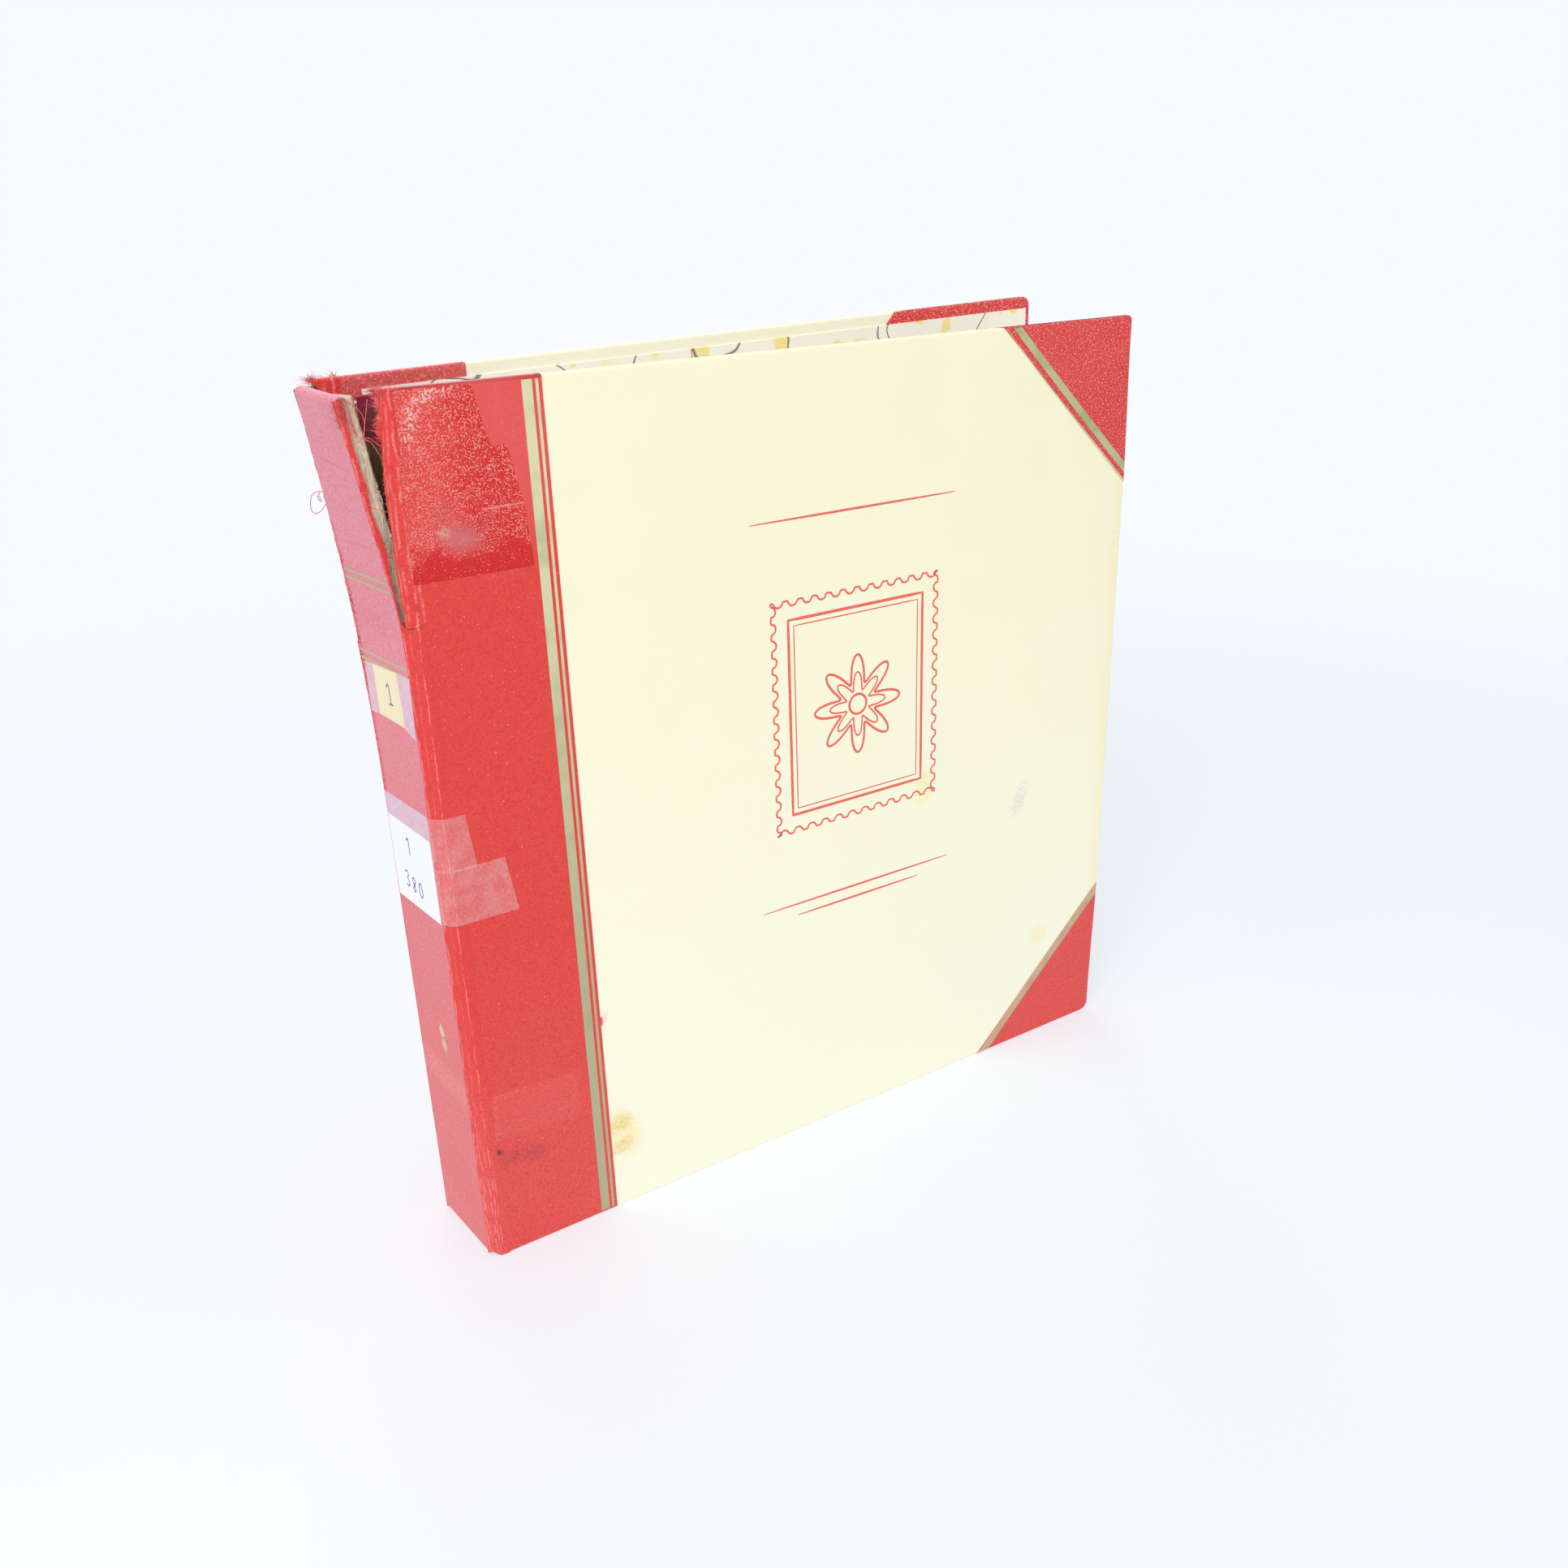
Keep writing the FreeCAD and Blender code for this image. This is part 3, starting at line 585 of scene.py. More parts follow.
class NodeSheet:
    """The nodes of one material or world, with short calls for the ones that are used most."""

    def __init__(self, name: str, world: bool = False) -> None:
        """Starts an empty material, or an empty world."""
        self.owner = (bpy.data.worlds if world else bpy.data.materials).new(name)
        self.owner.use_nodes = True
        self.tree = self.owner.node_tree
        self.tree.nodes.clear()

    def add(self, kind: str, sockets: dict | None = None, **settings: object) -> bpy.types.Node:
        """Adds a node.

        Args:
            kind: the node's type, without its prefix.
            sockets: values or other nodes' sockets for its inputs, by name or number.
            **settings: properties of the node.

        Returns:
            The node.
        """
        node = self.tree.nodes.new(f"ShaderNode{kind}")
        for key, value in settings.items():
            setattr(node, key, value)
        for key, value in (sockets or {}).items():
            if isinstance(value, Socket):
                self.tree.links.new(value, node.inputs[key])
            else:
                node.inputs[key].default_value = value
        return node

    def bench(self, place: BodyFrame) -> Socket:
        """Bench coordinates in millimetres: Object coordinates turned and moved back."""
        origin = place.bench(np.zeros(3))
        turn = Matrix((place.bench(np.eye(3) * MM) - origin).T.tolist()).to_euler()
        sockets = {
            "Vector": self.add("TexCoord").outputs["Object"],
            "Location": tuple(origin),
            "Rotation": tuple(turn),
            "Scale": (1 / MM,) * 3,
        }
        return self.add("Mapping", sockets).outputs["Vector"]

    def flat(self) -> Socket:
        """The piece's own flat coordinates in millimetres."""
        return self.add("UVMap", uv_map="flat").outputs["UV"]

    def stretched(self, where: Socket, scale: Triple) -> Socket:
        """Coordinates scaled along their three directions."""
        return self.add("Mapping", {"Vector": where, "Scale": scale}).outputs["Vector"]

    def parts(self, where: Socket) -> list[Socket]:
        """The three coordinates of a place."""
        return list(self.add("SeparateXYZ", {"Vector": where}).outputs)

    def math(self, operation: str, first: Socket | float, second: Socket | float = 0.0) -> Socket:
        """One calculation with two numbers."""
        return self.add("Math", {0: first, 1: second}, operation=operation).outputs[0]

    def noise(self, where: Socket, pitch: float, detail: float = 2.0) -> Socket:
        """Cloudy noise around 0.5, with lumps of about the given pitch."""
        sockets = {"Vector": where, "Scale": 1 / pitch, "Detail": detail}
        return self.add("TexNoise", sockets).outputs[0]

    def drift(self, where: Socket, pitch: float, detail: float, height: float) -> Socket:
        """Cloudy noise around 0, which reaches about half the height to either side."""
        return self.math("MULTIPLY", self.math("SUBTRACT", self.noise(where, pitch, detail), 0.5), height)

    def cells(self, where: Socket, pitch: float, **settings: str) -> Socket:
        """Distance from scattered points, or from the borders between them, in shares of the pitch."""
        sockets = {"Vector": where, "Scale": 1 / pitch}
        return self.add("TexVoronoi", sockets, **settings).outputs["Distance"]

    def step(self, value: Socket, low: float, high: float, top: float = 1.0) -> Socket:
        """Rises smoothly from 0 at low to the top value at high."""
        sockets = {"Value": value, "From Min": low, "From Max": high, "To Max": top}
        node = self.add("MapRange", sockets, interpolation_type="SMOOTHSTEP")
        return node.outputs["Result"]

    def mix(self, share: Socket | float, first: Socket | RGB, second: Socket | RGB) -> Socket:
        """A colour between two colours."""
        ends = [c if isinstance(c, Socket) else linear(c) for c in (first, second)]
        node = self.add("Mix", {0: share, 6: ends[0], 7: ends[1]}, data_type="RGBA")
        return node.outputs[2]

    def bump(self, height: Socket, relief: float, under: Socket | None = None) -> Socket:
        """A surface normal pushed by a height of the given relief in millimetres."""
        sockets = {"Height": height, "Distance": relief * MM, "Strength": 1.0}
        if under is not None:
            sockets["Normal"] = under
        return self.add("Bump", sockets).outputs["Normal"]

    def done(self, **sockets: object) -> Material:
        """Closes the sheet with a shader whose inputs are named with _ for spaces."""
        named = {key.replace("_", " "): value for key, value in sockets.items()}
        named.setdefault("Specular IOR Level", 0.4)
        shader = self.add("BsdfPrincipled", named)
        self.add("OutputMaterial", {"Surface": shader.outputs[0]})
        return self.owner


@dataclass(frozen=True)
class Mark:
    """A stain, smudge, ghost or painted shade on a surface, by its middle, half sizes, softness and colour.
    """

    middle: Pair
    half: Pair
    colour: RGB
    strength: float
    soft: float = 2.0
    turn: float = 0.0
    patchy: float = 0.0
    shape: Shape = Shape.BOX

    def over(self, sheet: NodeSheet, across: Socket, up: Socket, tone: Socket) -> Socket:
        """Lays the mark over a tone.

        Args:
            sheet: the material's sheet.
            across: first coordinate of the surface.
            up: second coordinate of the surface.
            tone: colour under the mark.

        Returns:
            The colour with the mark.
        """
        where = sheet.add("CombineXYZ", {0: across, 1: up}).outputs[0]
        sockets = {
            "Vector": where,
            "Location": (*self.middle, 0.0),
            "Rotation": (0.0, 0.0, math.radians(self.turn)),
        }
        local = sheet.add("Mapping", sockets, vector_type="TEXTURE").outputs[0]
        u, v = sheet.parts(local)[:2]
        if self.shape is Shape.BOX:
            beyond = sheet.math(
                "MAXIMUM",
                sheet.math("SUBTRACT", sheet.math("ABSOLUTE", u), self.half[0]),
                sheet.math("SUBTRACT", sheet.math("ABSOLUTE", v), self.half[1]),
            )
        else:
            u, v = sheet.math("DIVIDE", u, self.half[0]), sheet.math("DIVIDE", v, self.half[1])
            square = sheet.math("ADD", sheet.math("MULTIPLY", u, u), sheet.math("MULTIPLY", v, v))
            length = sheet.math("SUBTRACT", sheet.math("SQRT", square), 1.0)
            beyond = sheet.math("MULTIPLY", length, min(self.half))
        share = sheet.step(beyond, self.soft / 2, -self.soft / 2, self.strength)
        if self.patchy:
            cloud = sheet.step(sheet.noise(where, 1.3, 5.0), 0.5 - self.patchy / 2, 0.5 + self.patchy / 2)
            share = sheet.math("MULTIPLY", share, cloud)
        return sheet.mix(share, tone, self.colour)


@dataclass(frozen=True)
class WornLine:
    """A rubbed line along a joint: its place across the strip, half width, strength and upper end."""

    place: float
    half: float
    strength: float
    top: float = 400.0

    def over(self, sheet: NodeSheet, where: Socket, number: int, tone: Socket, pale: RGB) -> Socket:
        """Lays the line over a tone: it wanders, has rough sides and breaks off along its length.

        Args:
            sheet: the material's sheet.
            where: flat coordinates of the strip.
            number: the line's number, which sets its noise apart.
            tone: colour under the line.
            pale: colour of the line.

        Returns:
            The colour with the line.
        """
        across, up, _ = sheet.parts(where)
        shift = {0: sheet.stretched(where, (0.1, 1.0, 1.0)), 1: (0.0, 0.0, 7.0 * number)}
        lengthwise = sheet.add("VectorMath", shift).outputs[0]
        off = sheet.math("SUBTRACT", across, self.place)
        off = sheet.math("ADD", off, sheet.drift(lengthwise, 11.0, 3.0, 1.8))
        off = sheet.math("ADD", off, sheet.drift(where, 0.7, 3.0, 0.9))
        share = sheet.step(sheet.math("ABSOLUTE", off), self.half, self.half * 0.3, self.strength)
        kept = sheet.step(sheet.noise(lengthwise, 7.0, 5.0), 0.4, 0.56)
        kept = sheet.math("MULTIPLY", kept, sheet.step(up, self.top, self.top - 25.0))
        return sheet.mix(sheet.math("MULTIPLY", share, kept), tone, pale)


@dataclass(frozen=True)
class LeatherCloth:
    """Embossed leathercloth: pebbled grain, uneven dye, painted glint specks, worn lines, marks, tone by
    height.
    """

    name: str
    tone: RGB
    second_tone: RGB
    deep: RGB
    pale: RGB
    upper_tone: RGB | None = None
    upper_from: float = 60.0
    upper_to: float = 300.0
    grain: float = 0.8
    relief: float = 0.08
    specks: float = 0.03
    roughness: float = 0.5
    gloss: float = 0.35
    worn_lines: tuple[WornLine, ...] = ()
    marks: tuple[Mark, ...] = ()

    def material(self, place: BodyFrame | None) -> Material:
        """Builds the material.

        Args:
            place: frame whose bench coordinates it reads, or None for the piece's flat ones.

        Returns:
            The material.
        """
        sheet = NodeSheet(self.name)
        where = sheet.flat() if place is None else sheet.bench(place)
        x, y, z = sheet.parts(where)
        across, up = (y, z) if place is SPINE else (x, z) if place else (x, y)
        cloud = sheet.step(sheet.noise(where, 45.0, 3.0), 0.35, 0.65)
        tone = sheet.mix(cloud, self.tone, self.second_tone)
        # the tone turns towards the upper tone with height: painted sheen at the back cover's head, partly
        # painted light on the spine
        if self.upper_tone:
            ramp = sheet.math("ADD", up, sheet.math("MULTIPLY", sheet.noise(where, 30.0), 40.0))
            tone = sheet.mix(sheet.step(ramp, self.upper_from + 20, self.upper_to + 20), tone, self.upper_tone)
        pebble = sheet.cells(where, self.grain)
        valley = sheet.step(pebble, 0.35, 0.85, 0.45)
        tone = sheet.mix(valley, tone, self.deep)
        # painted glints: pale specks over the grain stand for light glinting on it
        fleck = sheet.noise(where, self.grain * 1.1, 1.0)
        edge = 0.72 - self.specks * 0.4
        tone = sheet.mix(sheet.step(fleck, edge, edge + 0.08, 0.75), tone, self.pale)
        for mark in self.marks:
            tone = mark.over(sheet, across, up, tone)
        for number, line in enumerate(self.worn_lines):
            tone = line.over(sheet, where, number, tone, self.pale)
        height = sheet.math("SUBTRACT", sheet.math("MULTIPLY", fleck, 0.6), pebble)
        normal = sheet.bump(height, self.relief)
        shine = sheet.step(cloud, 0.0, 1.0, 0.12)
        return sheet.done(
            Base_Color=tone,
            Roughness=sheet.math("ADD", shine, self.roughness - 0.06),
            Normal=normal,
            Specular_IOR_Level=self.gloss,
        )


@dataclass(frozen=True)
class FilmedCloth:
    """Leathercloth under glossy tape: deep where the film has wetted the grain, with painted glint specks
    and glare.
    """

    name: str
    deep: RGB = (208, 24, 20)
    soft: RGB = (222, 66, 60)
    speck: RGB = (244, 158, 148)
    glint: RGB = (255, 232, 232)
    wetted: Pair = (10.0, 26.0)
    low_strip: Pair = (272.0, 266.0)
    glint_middle: Pair = (17.0, 307.0)
    glint_radius: float = 11.6
    marks: tuple[Mark, ...] = ()

    def material(self, place: BodyFrame) -> Material:
        """Builds the material on the bench coordinates of a frame."""
        sheet = NodeSheet(self.name)
        where = sheet.bench(place)
        x, _, z = sheet.parts(where)
        drift = sheet.drift(where, 7.0, 4.0, 30.0)
        wetted = sheet.step(sheet.math("ADD", x, drift), *self.wetted, 0.9)
        low = sheet.step(sheet.math("ADD", z, drift), *self.low_strip)
        tone = sheet.mix(sheet.math("MAXIMUM", wetted, low), self.soft, self.deep)
        # painted glints: pale specks on the film stand for light glinting on its crinkle
        fleck = sheet.noise(where, 0.52, 2.0)
        thick = sheet.math("SUBTRACT", fleck, sheet.math("MULTIPLY", low, 0.09))
        patchy = sheet.math("MULTIPLY", sheet.noise(where, 2.4, 2.0), 0.16)
        thick = sheet.math("ADD", thick, patchy)
        tone = sheet.mix(sheet.step(thick, 0.62, 0.69, 0.85), tone, self.speck)
        # painted glare: a pale arc of glints near the head stands for light reflected by the film
        off = [sheet.math("SUBTRACT", *ends) for ends in zip((x, z), self.glint_middle)]
        square = sheet.math("ADD", *(sheet.math("MULTIPLY", part, part) for part in off))
        ring = sheet.math("ABSOLUTE", sheet.math("SUBTRACT", sheet.math("SQRT", square), self.glint_radius))
        above = sheet.step(sheet.math("SUBTRACT", off[1], off[0]), 4.0, 11.0, 0.6)
        near = sheet.math("MULTIPLY", sheet.step(ring, 3.6, 0.3), above)
        shine = sheet.math("MULTIPLY", near, sheet.step(sheet.noise(where, 0.9, 3.0), 0.46, 0.62))
        tone = sheet.mix(shine, tone, self.glint)
        for mark in self.marks:
            tone = mark.over(sheet, x, z, tone)
        normal = sheet.bump(fleck, 0.1)
        return sheet.done(Base_Color=tone, Roughness=0.3, Normal=normal, Specular_IOR_Level=0.4)


@dataclass(frozen=True)
class PlainPaper:
    """Matt paper with faint fibres and clouding, paler towards its tail, and marks."""

    name: str
    tone: RGB
    second_tone: RGB
    tail_tone: RGB
    roughness: float = 0.75
    marks: tuple[Mark, ...] = ()

    def material(self, place: BodyFrame) -> Material:
        """Builds the material on the bench coordinates of a frame."""
        sheet = NodeSheet(self.name)
        where = sheet.bench(place)
        x, y, z = sheet.parts(where)
        tone = sheet.mix(sheet.step(sheet.noise(where, 26.0, 4.0), 0.3, 0.7), self.tone, self.second_tone)
        tone = sheet.mix(sheet.step(z, 300.0, 20.0), tone, self.tail_tone)
        fibre = sheet.noise(sheet.stretched(where, (1.0, 1.0, 0.35)), 0.7, 3.0)
        tone = sheet.mix(sheet.step(fibre, 0.55, 0.9, 0.25), tone, self.second_tone)
        for mark in self.marks:
            tone = mark.over(sheet, y if place is SPINE else x, z, tone)
        normal = sheet.bump(fibre, 0.02)
        return sheet.done(
            Base_Color=tone, Roughness=self.roughness, Normal=normal, Specular_IOR_Level=0.2
        )


@dataclass(frozen=True)
class GiltFoil:
    """Pale gilt blocking, rubbed thin in places, and duller towards the tail."""

    name: str
    bright: RGB = (222, 218, 174)
    dull: RGB = (184, 176, 140)
    rubbed: RGB = (206, 148, 118)
    stain: RGB = (168, 168, 124)
    rub: float = 0.35

    def material(self, place: BodyFrame) -> Material:
        """Builds the material on the bench coordinates of a frame."""
        sheet = NodeSheet(self.name)
        where = sheet.bench(place)
        up = sheet.parts(where)[2]
        tone = sheet.mix(sheet.step(up, 90.0, 300.0), self.dull, self.bright)
        speckle = sheet.noise(where, 0.9, 4.0)
        tone = sheet.mix(sheet.step(speckle, 0.6, 0.8, self.rub), tone, self.rubbed)
        tone = sheet.mix(sheet.step(sheet.noise(where, 12.0, 3.0), 0.42, 0.68, 0.5), tone, self.stain)
        normal = sheet.bump(speckle, 0.02)
        return sheet.done(Base_Color=tone, Roughness=0.42, Metallic=0.35, Normal=normal)


@dataclass(frozen=True)
class GreyBoard:
    """Binder's board: pressed grey fibres with darker strands, laid along the height."""

    name: str
    tone: RGB = (232, 214, 184)
    dark: RGB = (182, 156, 126)
    pale: RGB = (250, 240, 220)

    def material(self, place: BodyFrame) -> Material:
        """Builds the material on the bench coordinates of a frame."""
        sheet = NodeSheet(self.name)
        where = sheet.bench(place)
        strand = sheet.noise(sheet.stretched(where, (1.6, 1.6, 0.22)), 0.7, 5.0)
        tone = sheet.mix(sheet.step(strand, 0.3, 0.7), self.dark, self.tone)
        tone = sheet.mix(sheet.step(sheet.noise(where, 2.4, 4.0), 0.5, 0.8, 0.7), tone, self.pale)
        normal = sheet.bump(strand, 0.3)
        return sheet.done(Base_Color=tone, Roughness=0.9, Normal=normal, Specular_IOR_Level=0.15)


@dataclass(frozen=True)
class BookCloth:
    """Plain-weave binder's cloth or dyed card: two crossing rows of threads and vertical streaks."""

    name: str
    tone: RGB
    dark: RGB
    pitch: float = 0.6
    streaks: float = 0.5
    head: RGB | None = None
    head_from: Pair = (298.0, 304.0)

    def material(self, place: BodyFrame) -> Material:
        """Builds the material on the bench coordinates of a frame."""
        sheet = NodeSheet(self.name)
        where = sheet.bench(place)
        x, y, z = sheet.parts(where)
        rate = math.tau / self.pitch
        side = sheet.math("ADD", x, y)
        warp = sheet.math("SINE", sheet.math("MULTIPLY", side, rate))
        weft = sheet.math("SINE", sheet.math("MULTIPLY", z, rate))
        weave = sheet.math("MULTIPLY", warp, weft)
        tone = sheet.mix(sheet.step(weave, -1.0, 1.0, 0.35), self.tone, self.dark)
        if self.head:
            tone = sheet.mix(sheet.step(z, *self.head_from), tone, self.head)
        streak = sheet.noise(sheet.stretched(where, (1.0, 1.0, 0.04)), 1.2, 4.0)
        tone = sheet.mix(sheet.step(streak, 0.4, 0.65, self.streaks), tone, self.dark)
        normal = sheet.bump(weave, 0.06)
        return sheet.done(Base_Color=tone, Roughness=0.8, Normal=normal, Specular_IOR_Level=0.2)


@dataclass(frozen=True)
class PrintedEndpaper:
    """Endpaper with pale yellow tints and fine grey wandering lines."""

    name: str
    paper: RGB = (255, 253, 242)
    tint: RGB = (255, 236, 160)
    line: RGB = (84, 86, 96)
    tint_pitch: float = 12.0
    bare_pitch: float = 90.0
    cell: float = 48.0
    sway: float = 44.0
    sway_pitch: float = 28.0

    def material(self, place: BodyFrame) -> Material:
        """Builds the material: the lines are the borders of swayed cells, the tint a cloud's level."""
        sheet = NodeSheet(self.name)
        where = sheet.stretched(sheet.bench(place), (1.0, 0.0, 1.0))
        tinted = sheet.step(sheet.noise(where, self.tint_pitch, 3.0), 0.55, 0.59)
        tone = sheet.mix(tinted, self.paper, self.tint)
        tone = sheet.mix(sheet.step(sheet.noise(where, self.bare_pitch, 2.0), 0.5, 0.62), tone, self.paper)
        cloud = sheet.add("TexNoise", {"Vector": where, "Scale": 1 / self.sway_pitch, "Detail": 1.5})
        sway = {0: cloud.outputs["Color"], 1: (self.sway, 0.0, self.sway), 2: where}
        x, _, z = sheet.parts(sheet.add("VectorMath", sway, operation="MULTIPLY_ADD").outputs[0])
        plan = sheet.add("CombineXYZ", {"X": x, "Y": z}).outputs[0]
        border = sheet.cells(plan, self.cell, feature="DISTANCE_TO_EDGE", voronoi_dimensions="2D")
        tone = sheet.mix(sheet.step(border, 0.012, 0.005, 0.8), tone, self.line)
        fibre = sheet.noise(where, 0.7, 3.0)
        return sheet.done(
            Base_Color=tone, Roughness=0.7, Normal=sheet.bump(fibre, 0.02), Specular_IOR_Level=0.25
        )


@dataclass(frozen=True)
class AlbumLeaf:
    """Album leaf paper with thinly ruled frames for stamps.

    Columns and rows are given by the middle of one frame, their pitch and a frame's half size.
    """

    name: str
    paper: RGB = (247, 242, 226)
    tint: RGB = (238, 229, 204)
    rule: RGB = (138, 132, 128)
    columns: Triple = (161.0, 58.0, 21.0)
    rows: Triple = (158.0, 68.0, 26.0)
    margins: Pair = (52.0, 276.0)

    def material(self, place: BodyFrame) -> Material:
        """Builds the material: a frame is where the distance from a box repeated over the leaf is 0."""
        sheet = NodeSheet(self.name)
        where = sheet.bench(place)
        x, _, z = sheet.parts(where)
        apart = []
        for place_along, (middle, pitch, half) in ((x, self.columns), (z, self.rows)):
            shifted = sheet.math("SUBTRACT", place_along, middle - pitch / 2)
            wrapped = sheet.math("SUBTRACT", sheet.math("FLOORED_MODULO", shifted, pitch), pitch / 2)
            apart.append(sheet.math("SUBTRACT", sheet.math("ABSOLUTE", wrapped), half))
        box = sheet.math("ABSOLUTE", sheet.math("MAXIMUM", *apart))
        tone = sheet.mix(sheet.step(sheet.noise(where, 30.0, 4.0), 0.35, 0.75), self.paper, self.tint)
        near, far = self.margins
        inside = sheet.math("MULTIPLY", sheet.step(x, near, near + 1), sheet.step(x, far, far - 1))
        share = sheet.math("MULTIPLY", sheet.step(box, 0.34, 0.16, 0.7), inside)
        tone = sheet.mix(share, tone, self.rule)
        fibre = sheet.noise(where, 0.6, 3.0)
        return sheet.done(
            Base_Color=tone, Roughness=0.75, Normal=sheet.bump(fibre, 0.02), Specular_IOR_Level=0.2
        )


@dataclass(frozen=True)
class ClearTape:
    """Old clear tape: a thin hazy film with a fine crinkle."""

    name: str
    haze: RGB = (255, 240, 244)
    cover: float = 0.2

    def material(self) -> Material:
        """Builds the material on the tape's own flat coordinates."""
        sheet = NodeSheet(self.name)
        where = sheet.flat()
        crinkle = sheet.noise(sheet.stretched(where, (1.0, 0.45, 1.0)), 0.7, 3.0)
        tone = sheet.mix(sheet.step(crinkle, 0.5, 0.8), self.haze, (255, 250, 250))
        cloudy = sheet.step(sheet.noise(where, 6.0, 3.0), 0.3, 0.7, 0.1)
        share = sheet.math("ADD", cloudy, sheet.step(crinkle, 0.4, 0.75, 0.1))
        return sheet.done(
            Base_Color=tone,
            Roughness=0.4,
            Alpha=sheet.math("ADD", share, self.cover - 0.1),
            Normal=sheet.bump(crinkle, 0.012),
            Specular_IOR_Level=0.25,
        )


@dataclass(frozen=True)
class Ink:
    """Printing ink or pen ink, slightly uneven."""

    name: str
    tone: RGB
    thin: RGB

    def material(self, place: BodyFrame) -> Material:
        """Builds the material on the bench coordinates of a frame."""
        sheet = NodeSheet(self.name)
        where = sheet.bench(place)
        tone = sheet.mix(sheet.step(sheet.noise(where, 0.8, 3.0), 0.45, 0.75), self.tone, self.thin)
        return sheet.done(Base_Color=tone, Roughness=0.6)


@dataclass(frozen=True)
class TurnedBrass:
    """Turned brass, a little tarnished."""

    name: str
    bright: RGB = (216, 184, 112)
    tarnish: RGB = (150, 116, 62)

    def material(self, place: BodyFrame) -> Material:
        """Builds the material on the bench coordinates of a frame."""
        sheet = NodeSheet(self.name)
        where = sheet.bench(place)
        cloud = sheet.noise(where, 2.5, 4.0)
        tone = sheet.mix(sheet.step(cloud, 0.4, 0.7, 0.6), self.bright, self.tarnish)
        rough = sheet.math("ADD", sheet.step(cloud, 0.3, 0.7, 0.2), 0.22)
        return sheet.done(Base_Color=tone, Metallic=1.0, Roughness=rough)


RED = {
    "tone": (226, 66, 58),
    "second_tone": (229, 75, 69),
    "deep": (208, 42, 38),
    "pale": (244, 152, 142),
}
FRONT_MARKS = (
    Mark((21.0, 60.3), (17.4, 9.4), (228, 108, 104), 0.5, 3.0, -3.0, 0.7),
    Mark((10.5, 69.8), (6.0, 0.5), (236, 132, 126), 0.4, 1.0, -3.0, 0.5),
    Mark((4.8, 60.0), (0.5, 9.0), (236, 132, 126), 0.35, 1.0, -3.0, 0.5),
    Mark((11.5, 41.6), (10.5, 3.4), (178, 62, 68), 0.75, 5.0, -12.0, 0.7, Shape.OVAL),
    Mark((19.4, 40.6), (2.2, 2.8), (160, 66, 76), 0.55, 3.0, -20.0, 0.5, Shape.OVAL),
    Mark((3.6, 46.2), (2.0, 1.1), (104, 40, 54), 0.9, 1.4, -14.0, 0.0, Shape.OVAL),
    # painted shade: a dark maroon line along the head edge of the quarter strip, where it turns over the
    # board
    Mark((26.5, 320.2), (24.0, 1.2), (160, 26, 42), 0.85, 0.5),
    Mark((30.0, 300.0), (22.0, 30.0), (234, 104, 104), 0.5, 24.0, 0.0, 0.0, Shape.OVAL),
)
SIDE_MARKS = (
    Mark((253.7, 123.6), (3.4, 7.4), (224, 224, 222), 0.85, 4.0, -18.0, 0.3, Shape.OVAL),
    Mark((200.8, 142.5), (4.8, 7.6), (250, 243, 190), 0.7, 2.0, -6.0, 0.0, Shape.OVAL),
    Mark((54.4, 33.4), (6.4, 11.0), (250, 226, 146), 0.9, 7.0, 20.0, 0.9, Shape.OVAL),
    Mark((53.6, 38.2), (5.0, 3.8), (240, 204, 108), 0.95, 4.0, 10.0, 0.8, Shape.OVAL),
    Mark((53.4, 27.6), (4.6, 2.8), (236, 200, 112), 0.95, 3.4, 24.0, 0.8, Shape.OVAL),
    Mark((49.6, 86.0), (0.8, 1.9), (224, 66, 66), 0.95, 0.7, 0.0, 0.0, Shape.OVAL),
    Mark((51.0, 86.6), (0.9, 2.6), (250, 214, 206), 0.7, 1.2, -14.0, 0.0, Shape.OVAL),
    Mark((268.4, 51.6), (5.0, 5.0), (251, 241, 186), 0.5, 4.0, 0.0, 0.0, Shape.OVAL),
    Mark((302.0, 160.0), (3.0, 110.0), (252, 240, 176), 0.5, 4.0, 0.0, 0.2),
)
SPINE_MARKS = (
    Mark((21.5, 71.0), (17.0, 5.5), (240, 168, 166), 0.4, 5.0, 4.0, 0.3),
    Mark((20.0, 297.0), (12.0, 0.25), (206, 96, 112), 0.5, 0.5, 3.0, 0.4),
    Mark((16.0, 291.0), (7.0, 0.25), (206, 96, 112), 0.45, 0.5, -7.0, 0.4),
    Mark((27.0, 283.5), (9.0, 0.25), (206, 96, 112), 0.4, 0.5, 5.0, 0.5),
    Mark((20.0, 272.0), (13.0, 0.3), (206, 96, 112), 0.5, 0.6, -3.0, 0.5),
    Mark((22.0, 246.0), (14.0, 4.0), (222, 112, 124), 0.45, 6.0, 2.0, 0.3, Shape.OVAL),
    Mark((21.0, 26.0), (16.0, 12.0), (222, 104, 108), 0.35, 10.0, 0.0, 0.4, Shape.OVAL),
    Mark((38.9, 206.0), (1.6, 30.0), (222, 62, 66), 0.9, 1.5, 0.0, 0.3),
    Mark((38.0, 247.0), (2.0, 20.0), (222, 62, 66), 0.9, 1.5, 0.0, 0.3),
    Mark((37.4, 270.0), (0.7, 7.0), (222, 66, 72), 0.8, 0.9, 0.0, 0.5),
    # painted shade: dark spots along the torn back edge of the cloth, where it curls round the board
    Mark((37.5, 250.0), (0.9, 4.0), (112, 16, 28), 0.9, 0.6, 0.0, 0.3, Shape.OVAL),
    Mark((37.9, 237.2), (0.8, 2.4), (104, 14, 26), 0.9, 0.6, 0.0, 0.3, Shape.OVAL),
    Mark((38.8, 231.6), (0.8, 1.8), (112, 16, 28), 0.85, 0.6, 0.0, 0.4, Shape.OVAL),
    Mark((39.2, 222.0), (0.5, 2.6), (140, 26, 36), 0.7, 0.6, 0.0, 0.5, Shape.OVAL),
)
